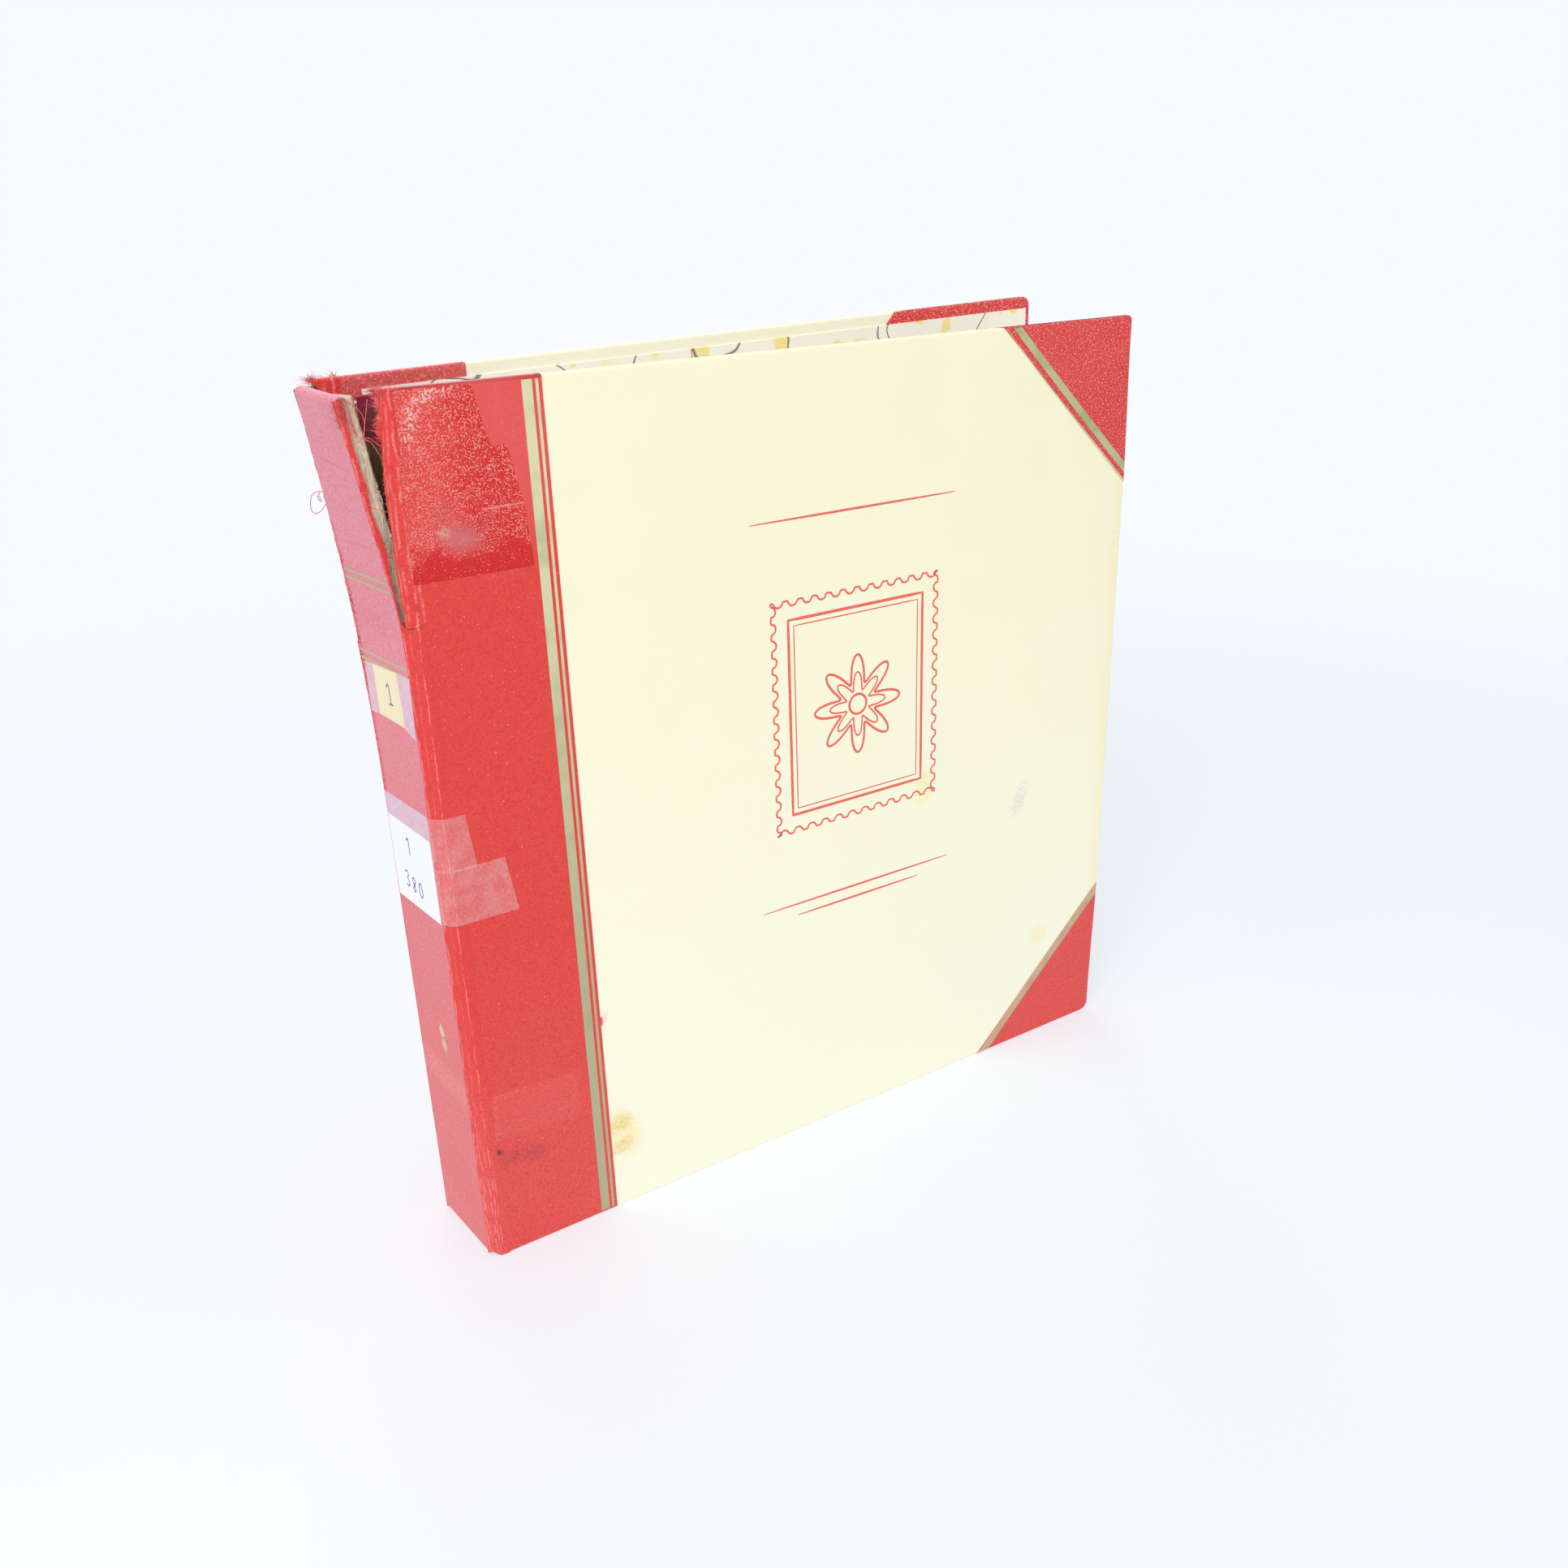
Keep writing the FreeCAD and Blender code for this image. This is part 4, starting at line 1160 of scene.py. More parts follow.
TAPE_MARKS = (
    Mark((16.5, 274.0), (7.5, 5.6), (206, 96, 98), 0.75, 7.0, -12.0, 0.6, Shape.OVAL),
    Mark((17.6, 273.4), (5.4, 3.0), (206, 112, 116), 0.7, 4.0, -16.0, 0.0, Shape.OVAL),
    Mark((13.0, 281.0), (4.4, 4.0), (208, 92, 94), 0.55, 4.0, 30.0, 0.5, Shape.OVAL),
    Mark((12.2, 276.0), (1.7, 1.9), (216, 178, 146), 0.85, 1.6, 30.0, 0.5, Shape.OVAL),
    Mark((24.4, 276.6), (0.5, 1.3), (112, 30, 40), 0.8, 0.9, 8.0, 0.6, Shape.OVAL),
    Mark((25.0, 272.0), (0.4, 0.9), (120, 36, 44), 0.7, 0.8, 0.0, 0.6, Shape.OVAL),
    Mark((32.6, 281.5), (7.2, 0.28), (238, 150, 140), 0.75, 0.5, 1.2, 0.0),
)


JOINT_WEAR = (
    WornLine(0.9, 0.34, 0.7), WornLine(5.7, 0.22, 0.85), WornLine(3.2, 0.2, 0.4),
    WornLine(2.2, 0.3, 0.7, 80.0), WornLine(4.3, 0.3, 0.75, 62.0), WornLine(6.6, 0.3, 0.6, 55.0),
    WornLine(1.4, 0.4, 0.8, 40.0),
)
TORN_WEAR = (
    WornLine(1.2, 0.5, 0.6), WornLine(2.6, 0.3, 0.7), WornLine(4.0, 0.4, 0.5),
    WornLine(5.2, 0.3, 0.75), WornLine(6.6, 0.5, 0.7), WornLine(7.6, 0.4, 0.7),
)


def on_covers(finish: type, name: str, **fields: object) -> dict[Side, Material]:
    """A finish made for each cover, named after its side, on the frame of its body.

    Args:
        finish: the class of the finish.
        name: start of the materials' names.
        **fields: fields of the finish.

    Returns:
        A material for each side.
    """
    return {side: finish(f"{name}_{side.value}", **fields).material(side.cover) for side in Side}


class Finishes:
    """The materials of the album, each made once."""

    def __init__(self) -> None:
        """Builds every finish on the frame of the body that wears it."""
        front, back = Side.FRONT.cover, Side.BACK.cover
        self.quarter = {
            Side.FRONT: LeatherCloth(
                "red_cloth_front", **dict(RED, tone=(228, 79, 74), second_tone=(230, 87, 82)),
                upper_tone=(227, 70, 63), upper_from=10.0, upper_to=150.0, specks=0.1, marks=FRONT_MARKS,
            ).material(front),
            # painted sheen: the back's red turns paler towards its head, and its denser pale specks are
            # painted glints
            Side.BACK: LeatherCloth(
                "red_cloth_back", **RED, upper_tone=(221, 98, 98), upper_from=262.0, upper_to=305.0,
                specks=0.32, relief=0.14,
            ).material(back),
        }
        # painted glints: the head corners get many pale specks on a finer grain, standing for light
        # sparkling on it
        sparkle = dict(RED, tone=(219, 60, 58), second_tone=(224, 72, 69), pale=(250, 184, 174))
        self.head_corner = on_covers(LeatherCloth, "red_corner", **sparkle, specks=0.36, grain=0.56)
        self.tail_corner = self.quarter
        joint_red = dict(RED, tone=(229, 83, 79), second_tone=(231, 92, 88), pale=(248, 142, 140),
                         upper_tone=(227, 67, 63), upper_from=0.0, upper_to=120.0)
        self.joint = LeatherCloth("joint_cloth", **joint_red, worn_lines=JOINT_WEAR).material(None)
        self.torn = LeatherCloth("torn_cloth", **joint_red, worn_lines=TORN_WEAR, specks=0.12).material(None)
        # painted shade: the back lip is a darker, shaded copy of the torn cloth's red
        shaded = dict(RED, tone=(178, 40, 44), second_tone=(194, 54, 56), pale=(226, 110, 112))
        self.lip = {
            Side.FRONT: self.torn,
            Side.BACK: LeatherCloth("torn_cloth_back_shaded", **shaded, specks=0.12).material(None),
        }
        # the spine's paler, lilac upper tone is partly sun fading and partly painted bluish light at the top
        self.spine = LeatherCloth(
            "faded_cloth",
            tone=(232, 119, 121),
            second_tone=(233, 128, 132),
            deep=(216, 100, 106),
            pale=(243, 182, 186),
            upper_tone=(233, 150, 166),
            specks=0.16,
            roughness=0.6,
            marks=SPINE_MARKS,
        ).material(SPINE)
        self.filmed = FilmedCloth("cloth_under_tape", marks=TAPE_MARKS).material(front)
        cream = {"tone": (252, 246, 213), "second_tone": (252, 248, 218), "tail_tone": (252, 250, 226)}
        self.side = {
            Side.FRONT: PlainPaper("cream_side_front", **cream, marks=SIDE_MARKS).material(front),
            # painted light: the back's side paper is a lighter, bluer copy of the cream, offsetting the
            # duller light on the back cover
            Side.BACK: PlainPaper(
                "cream_side_back", (254, 249, 226), (254, 251, 230), cream["tail_tone"]
            ).material(back),
        }
        self.endpaper = on_covers(PrintedEndpaper, "endpaper")
        self.gilt = on_covers(GiltFoil, "gilt")
        olive = {"bright": (190, 188, 142), "dull": (190, 182, 144), "stain": (152, 152, 104)}
        self.corner_gilt_and_edge_shadow = on_covers(GiltFoil, "gilt_corner", **olive)
        bare = {"bright": (242, 164, 142), "dull": (242, 164, 142), "stain": (236, 138, 118)}
        self.rubbed_gilt = on_covers(GiltFoil, "gilt_rubbed", **bare)
        spine_gilt = {"bright": (202, 172, 146), "dull": (230, 190, 154), "rubbed": (224, 148, 146)}
        self.spine_gilt = GiltFoil("gilt_spine", **spine_gilt, rub=0.7).material(SPINE)
        self.board = on_covers(GreyBoard, "board")
        # painted light: the spine board is a lighter copy of the greyboard, offsetting the shade in the
        # spine's hollow
        self.core = GreyBoard("spine_core_board", (248, 238, 210), (204, 184, 152)).material(SPINE)
        self.cloth = on_covers(BookCloth, "maroon_cloth", tone=(172, 52, 58), dark=(122, 36, 42))
        self.block_cloth = BookCloth("maroon_cloth_block", (158, 44, 76), (108, 28, 54)).material(SPINE)
        self.guard = BookCloth(
            "guard_card", (150, 124, 92), (92, 74, 54), 2.1, 0.8, (138, 36, 62)
        ).material(SPINE)
        self.leaf = AlbumLeaf("leaf_paper").material(SPINE)
        self.upper_label = PlainPaper(
            "label_yellowed", (249, 240, 208), (248, 234, 192), (248, 232, 188)
        ).material(SPINE)
        self.lower_label = PlainPaper(
            "label_white", (253, 254, 254), (251, 253, 254), (252, 253, 254)
        ).material(SPINE)
        self.tape = ClearTape("clear_tape").material()
        self.spine_tape = ClearTape("clear_tape_spine", (250, 234, 255), 0.62).material()
        self.print = Ink("coral_print", (236, 104, 88), (241, 130, 112)).material(front)
        self.pen = Ink("pen_ink", (104, 98, 168), (140, 134, 196)).material(SPINE)
        self.thread = Ink("red_thread", (228, 94, 98), (244, 148, 150)).material(SPINE)
        # paler than the cloth: partly the pale torn threads, partly painted light offsetting the shade among
        # the dense fibres
        self.fibre = Ink("frayed_fibre", (248, 124, 124), (253, 172, 170)).material(SPINE)
        self.brass = TurnedBrass("turned_brass").material(SPINE)


# The covers


def straight(start: Pair, end: Pair, count: int) -> Array:
    """Even points on a straight run, without its end."""
    return np.linspace(start, end, count, endpoint=False)


def arc(centre: Pair, radius: float, start: float, end: float, count: int) -> Array:
    """Even points on a stretch of a circle, by angles in degrees, with its end."""
    angle = np.radians(np.linspace(start, end, count))
    return np.array(centre) + radius * np.stack([np.cos(angle), np.sin(angle)], -1)


@dataclass
class CoverDress:
    """The coverings of one cover: quarter strip, corners, side paper, gilt rules, and its CAD pieces.

    A hinge band is given by its lower and upper edge, its start and its slope.
    """

    side: Side
    finishes: Finishes
    face_columns: int = 16
    cloth: float = 0.4
    corner_cloth: float = 0.19
    paper: float = 0.25
    unevenness: float = 0.03
    gilt_lift: float = 0.03
    foil: float = 0.02
    gilt_bands: Corners = ((42.4, 45.9), (47.0, 48.0))
    gilt_ends: float = 1.2
    head_gilt: Pair = (2.6, 5.6)
    tail_gilt: Pair = (1.7, 4.1)
    edge_shadow_line: Pair = (0.05, 0.35)
    bare_gilt: Pair = (0.45, 1.6)
    hinge_bands: Rows = ((313.7, 315.5, 10.0, 0.0), (311.6, 312.4, 5.6, -0.12))
    hinge_band_end: float = 14.6
    front_head_round: float = 1.8
    tail_round_more: float = 0.9
    front_bow: float = 1.4
    back_quarter_less: float = 3.3
    back_leg_more: float = 4.7

    def __post_init__(self) -> None:
        """Finds the frame of the cover's body, and how this cover's leather is cut."""
        self.place = self.side.cover
        self.outward = (0.0, self.side.sign, 0.0)
        self.quarter_edge, self.bow = SIZES.quarter_edge, self.front_bow
        self.legs = {End.HEAD: SIZES.head_leg, End.TAIL: SIZES.tail_leg}
        tail_round = SIZES.corner_round + self.tail_round_more
        self.rounds = {End.HEAD: self.front_head_round, End.TAIL: tail_round}
        if self.side is Side.BACK:
            self.quarter_edge -= self.back_quarter_less
            self.bow = 0.0
            self.legs[End.HEAD] += self.back_leg_more
            self.rounds[End.HEAD] = SIZES.corner_round

    def patch(self, x: Array, depth: Array, z: Array) -> Patch:
        """A grid of the cover from its coordinates, facing outwards, with flat coordinates x and z."""
        x, depth, z = np.broadcast_arrays(x, depth, z)
        points = np.stack([x, mirrored(self.side, depth), z], -1)
        return Patch(points, np.stack([x, z], -1)).facing(self.outward)

    def piece(
        self, name: str, patches: list[Patch], finish: Material, slot: str, **how: object
    ) -> None:
        """Makes one piece of this cover, named after its side."""
        stands_for = tuple(f"{self.side.value}_{node}" for node in how.pop("stands_for", ()))
        make_piece(
            f"{self.side.value}_{name}", patches, self.place, finish, slot, stands_for=stands_for, **how
        )

    def quarter(self) -> None:
        """The quarter strip: the section of its turned-in ends carried along X, softly uneven."""
        z, level = turned_strip(SIZES.height, SIZES.thickness, SIZES.edge_round, SIZES.turn_in, 130)
        x = np.linspace(SIZES.hinge_edge, self.quarter_edge, 30)[:, None]
        patch = self.patch(x, level - self.uneven(x, z), z)
        finish = self.finishes.quarter[self.side]
        self.piece("quarter_cloth", [patch], finish, "red_leathercloth", thickness=self.cloth,
                   stands_for=("quarter_leather",))

    def uneven(self, x: Array, z: Array) -> Array:
        """How far the soft waves of the quarter strip stand out."""
        return self.unevenness * (1 + swell(x, z, 9.0, 4))

    def wrapped(
        self, outline: Array, anchors: Array, outer: float, inner: float, slant: float = 0.0
    ) -> Patch:
        """A covering that runs from a line on the face to the cover's edge and turns in behind it.

        The face is ruled between the anchor line and the outline; past it the turned-in section is
        carried along the outline, and near a corner it stops at the mitre. Its ends lean outwards by
        the slant for each millimetre past the edge.

        Args:
            outline: points along the edge of the cover, two numbers each.
            anchors: points of the line on the face, one for each point of the outline.
            outer: depth of the outer face.
            inner: depth of the turn-in.
            slant: how far the ends of the turn-in lean.

        Returns:
            The covering as one grid.
        """
        run = np.gradient(outline, axis=0)
        run /= np.linalg.norm(run, axis=1, keepdims=True)
        normal = np.stack([run[:, 1], -run[:, 0]], -1)
        inset, depth = edge_section(outer, inner, SIZES.edge_round, SIZES.turn_in)
        to_fore = SIZES.fore_edge - outline[:, 0]
        to_end = np.minimum(outline[:, 1], SIZES.height - outline[:, 1])
        upper = outline[:, 1] > SIZES.height / 2
        bend = np.where(upper, self.rounds[End.HEAD], self.rounds[End.TAIL])
        limit = np.maximum(np.maximum(to_fore, to_end), bend)
        reach = np.minimum(inset[None], limit[:, None])
        rim = outline[:, None] - reach[..., None] * normal[:, None]
        length = run_length(outline)
        passed = run_length(np.stack([inset, depth], -1))
        lean = np.clip(1 - (length[-1] - length) / 30, 0, 1) - np.clip(1 - length / 30, 0, 1)
        rim = rim + (slant * lean[:, None] * passed)[..., None] * run[:, None]
        share = np.linspace(0, 1, self.face_columns, endpoint=False)[None, :, None]
        face = anchors[:, None] * (1 - share) + rim[:, :1] * share
        grid = np.concatenate([face, rim], 1)
        level = np.concatenate([np.full(self.face_columns, outer), depth])
        return self.patch(grid[..., 0], level[None], grid[..., 1])

    def fore_edge(self, z: Array) -> Array:
        """The fore edge at a height: straight, with a flat bow between two smooth steps."""
        return SIZES.fore_edge + self.bow * smooth_step(z, 6.0, 80.0) * smooth_step(z, 316.0, 250.0)

    def fore_outline(self, low: float, high: float, near_tail: float, near_head: float) -> Array:
        """The cover's edge from the tail round the fore edge to the head, between two places.

        Args:
            low: lowest place on the fore edge, 0 or less to run along the tail as well.
            high: highest place on the fore edge, the height or more to run along the head as well.
            near_tail: where the run along the tail starts.
            near_head: where the run along the head ends.

        Returns:
            The points of the edge.
        """
        fore, top = SIZES.fore_edge, SIZES.height
        runs = []
        if low <= 0:
            bend = self.rounds[End.TAIL]
            runs += [straight((near_tail, 0), (fore - bend, 0), 40)]
            runs += [arc((fore - bend, bend), bend, -90, 0, 9)]
        foot, head = max(low, self.rounds[End.TAIL]), min(high, top - self.rounds[End.HEAD])
        z = np.linspace(foot, head, 42)[1:-1]
        runs += [np.stack([self.fore_edge(z), z], -1)]
        if high >= top:
            bend = self.rounds[End.HEAD]
            runs += [arc((fore - bend, top - bend), bend, 0, 90, 9)]
            runs += [np.linspace((fore - bend, top), (near_head, top), 40)[1:]]
        return np.concatenate(runs)

    def corner(self, end: End) -> None:
        """A leather corner: ruled from its slanting edge to the outline and turned in over it."""
        fore, top, leg = SIZES.fore_edge, SIZES.height, self.legs[end]
        if end is End.HEAD:
            outline = self.fore_outline(top - leg, top, 0.0, fore - leg)
            finish = self.finishes.head_corner[self.side]
        else:
            outline = self.fore_outline(0.0, leg, fore - leg, 0.0)
            finish = self.finishes.tail_corner[self.side]
        length = run_length(outline)
        share = (length / length[-1])[:, None]
        inward = np.array([0, -1.0 if end is End.HEAD else 1.0]) * SIZES.edge_round
        side_in = np.array([-SIZES.edge_round, 0])
        starts = (outline[0] + side_in, outline[-1] + inward)
        if end is End.TAIL:
            starts = (outline[0] + inward, outline[-1] + side_in)
        anchors = starts[0] * (1 - share) + starts[1] * share
        patch = self.wrapped(outline, anchors, 0.0, SIZES.thickness, slant=1.0)
        self.piece(f"{end.value}_corner_cloth", [patch], finish, "red_leathercloth",
                   thickness=self.corner_cloth,
                   stands_for=(f"{end.value}_corner",))

    def corner_rule(self, end: End, band: Pair) -> Patch:
        """A band of a corner, gilt or the painted shadow line, ruled between two lines parallel to the
        slanting edge.
        """
        leg = self.legs[end]
        inset = SIZES.edge_round * 0.6
        off = np.array(band) * math.sqrt(2)
        along = np.linspace(0, 1, 40)[:, None]
        short = leg - off[None] - inset
        down = inset + short * along
        z = SIZES.height - down if end is End.HEAD else down
        x = SIZES.fore_edge * (1 - along) + self.fore_edge(z) * along - inset - short * (1 - along)
        return self.patch(x, np.full_like(x, -self.gilt_lift), z)

    def rules(self) -> None:
        """Gilt bands by the quarter strip and the corners, and an olive band painting the corners' edge
        shadow.
        """
        z = np.linspace(self.gilt_ends, SIZES.height - self.gilt_ends, 90)[:, None]
        patches = []
        for band in self.gilt_bands:
            x = np.linspace(*band, 4)[None] + self.quarter_edge - SIZES.quarter_edge
            patches.append(self.patch(x, -self.gilt_lift - self.uneven(x, z), z))
        bands = [self.corner_rule(End.HEAD, self.head_gilt), self.corner_rule(End.TAIL, self.tail_gilt)]
        # painted shadow: a thin olive band along each corner's slanted edge stands for the shadow line there
        bands += [self.corner_rule(end, self.edge_shadow_line) for end in End]
        rubbed = [self.corner_rule(End.TAIL, self.bare_gilt)]
        for name, foils, finish in (
            ("gilt_rules", patches, self.finishes.gilt),
            ("corner_gilt_and_edge_shadow", bands, self.finishes.corner_gilt_and_edge_shadow),
            ("rubbed_gilt", rubbed, self.finishes.rubbed_gilt),
        ):
            self.piece(name, foils, finish[self.side], "brass", thickness=self.foil)

    def side_paper(self) -> None:
        """The side paper: ruled from the quarter strip to the outline, turned in over three edges."""
        near = self.quarter_edge - 1.5
        outline = self.fore_outline(0.0, SIZES.height, near, near)
        length = run_length(outline)
        share = length / length[-1]
        up = SIZES.edge_round + (SIZES.height - 2 * SIZES.edge_round) * share
        anchors = np.stack([np.full_like(up, near), up], -1)
        inner = SIZES.board_inner + SIZES.paper
        patch = self.wrapped(outline, anchors, SIZES.paper_drop, inner)
        self.piece("side_cover_paper", [patch], self.finishes.side[self.side], "cream_paper",
                   thickness=self.paper, stands_for=("side_paper",))

    def hinge_paper(self) -> None:
        """The ends of the endpaper beside the hinge cloth's head: two slim bands on the inner face."""
        patches = []
        for low, high, near, slope in self.hinge_bands:
            x = np.linspace(near, self.hinge_band_end, 8)[:, None]
            z = np.linspace(low, high, 4)[None] + slope * (x - near)
            band = self.patch(x, np.full_like(z, SIZES.thickness + 0.14), z)
            patches.append(band.facing((0.0, -self.side.sign, 0.0)))
        self.piece("hinge_paper", patches, self.finishes.endpaper[self.side], "printed_endpaper",
                   thickness=0.12)

    def dress(self) -> None:
        """Makes the coverings and gives the remaining solids of the cover their finishes."""
        self.side_paper()
        self.hinge_paper()
        self.quarter()
        for end in End:
            self.corner(end)
        self.rules()
        side = self.side.value
        wear(f"{side}_board", self.finishes.board[self.side])
        wear(f"{side}_hinge_cloth", self.finishes.cloth[self.side])
        wear(f"{side}_pastedown", self.finishes.endpaper[self.side])


def wear(node: str, finish: Material) -> None:
    """Gives a CAD node a finish."""
    mesh = frame["nodes"][node].data
    mesh.materials.clear()
    mesh.materials.append(finish)
    LOG.info("%s: keeps its solid", node)


# The spine


@dataclass(frozen=True)
class Bend:
    """A bend of the spine's sheet: where it starts, its radius and its angle in degrees."""

    start: float
    radius: float
    angle: float


@dataclass
class SpineForm:
    """The spine's sheet: upright, then bent outwards, sharply at the front joint, slowly at the back."""

    outer: float = -3.4
    length: float = 319.0
    front: Bend = Bend(236.0, 160.0, 9.0)
    back: Bend = Bend(182.0, 960.0, 10.0)

    def section(self, bend: Bend, along: Array, depth: Array) -> tuple[Array, Array]:
        """Upright section: a straight run, an arc of the bend, and its tangent.

        Args:
            bend: the bend of this side.
            along: distance along the sheet from the tail.
            depth: depth under the outer face.

        Returns:
            The place along X and the height.
        """
        turn = np.clip((along - bend.start) / bend.radius, 0, math.radians(bend.angle))
        beyond = np.maximum(along - bend.start - bend.radius * math.radians(bend.angle), 0)
        before = np.minimum(along - bend.start, 0)
        radius = bend.radius + depth
        x = self.outer - bend.radius + radius * np.cos(turn) - beyond * np.sin(turn)
        z = bend.start + before + radius * np.sin(turn) + beyond * np.cos(turn)
        return x, z

    def points(self, across: Array, along: Array, depth: Array) -> Array:
        """Bench points of the sheet, ruled across the case between its front and back sections.

        Args:
            across: place across the case.
            along: distance along the sheet from the tail.
            depth: depth under the outer face.

        Returns:
            The points.
        """
        across, along, depth = np.broadcast_arrays(across, along, depth)
        front = self.section(self.front, along, depth)
        back = self.section(self.back, along, depth)
        share = (across - SIZES.joint_radius) / (SIZES.depth - 2 * SIZES.joint_radius)
        x = front[0] + (back[0] - front[0]) * share
        z = front[1] + (back[1] - front[1]) * share
        return np.stack([x, across, z], -1)

    def patch(self, across: Array, along: Array, lift: float) -> Patch:
        """A band on the outer face from the places of its points, with flat coordinates Y and Z."""
        points = self.points(across, along, np.array(-lift))
        return Patch(points, points[..., 1:]).facing((-1.0, 0.0, 0.0))

    def sheet(self, corners: Corners, lift: float, steps: int = 16) -> Patch:
        """A thin sheet on the outer face, ruled twice between four corners.

        Args:
            corners: places across and along the spine: back head, front head, front tail, back tail.
            lift: how far it stands out from the face.
            steps: points along each side.

        Returns:
            The sheet, facing outwards.
        """
        head_back, head_front, tail_front, tail_back = np.array(corners, float)
        share = np.linspace(0, 1, steps)[:, None, None]
        up = np.linspace(0, 1, steps)[None, :, None]
        head = head_back * (1 - share) + head_front * share
        tail = tail_back * (1 - share) + tail_front * share
        where = tail * (1 - up) + head * up
        points = self.points(where[..., 0], where[..., 1], np.full((steps, steps), -lift))
        return Patch(points, where).facing((-1.0, 0.0, 0.0))


ONE = ((-1.6, 2.2), (0.4, 4.4), (0.2, -3.6))
FOOT = ((-1.4, -3.7), (1.8, -3.4))
THREE = ((-1.2, 2.4), (0.2, 3.2), (1.2, 2.0), (-0.1, 0.5), (1.3, -0.8), (0.4, -2.4), (-1.3, -2.0))
EIGHT = (
    (0.2, 0.2), (1.2, 1.6), (0.0, 3.0), (-1.0, 1.7), (0.9, -0.8), (0.1, -2.5), (-1.2, -1.2), (0.2, 0.2)
)
ZERO = ((0.2, 2.6), (-1.1, 1.2), (-0.9, -1.6), (0.2, -2.6), (1.2, -1.2), (1.0, 1.4), (0.2, 2.6))


@dataclass(frozen=True)
class PenStroke:
    """A stroke of a number on a label: its middle across and along the spine, its scale and its path."""

    across: float
    along: float
    scale: float
    path: Corners


PEN_STROKES = (
    PenStroke(21.0, 221.4, 1.0, ONE),
    PenStroke(21.0, 221.4, 1.0, FOOT),
    PenStroke(24.6, 164.6, 0.9, ONE),
    PenStroke(29.6, 150.2, 1.15, THREE),
    PenStroke(24.4, 149.6, 1.15, EIGHT),
    PenStroke(19.2, 149.6, 1.15, ZERO),
)


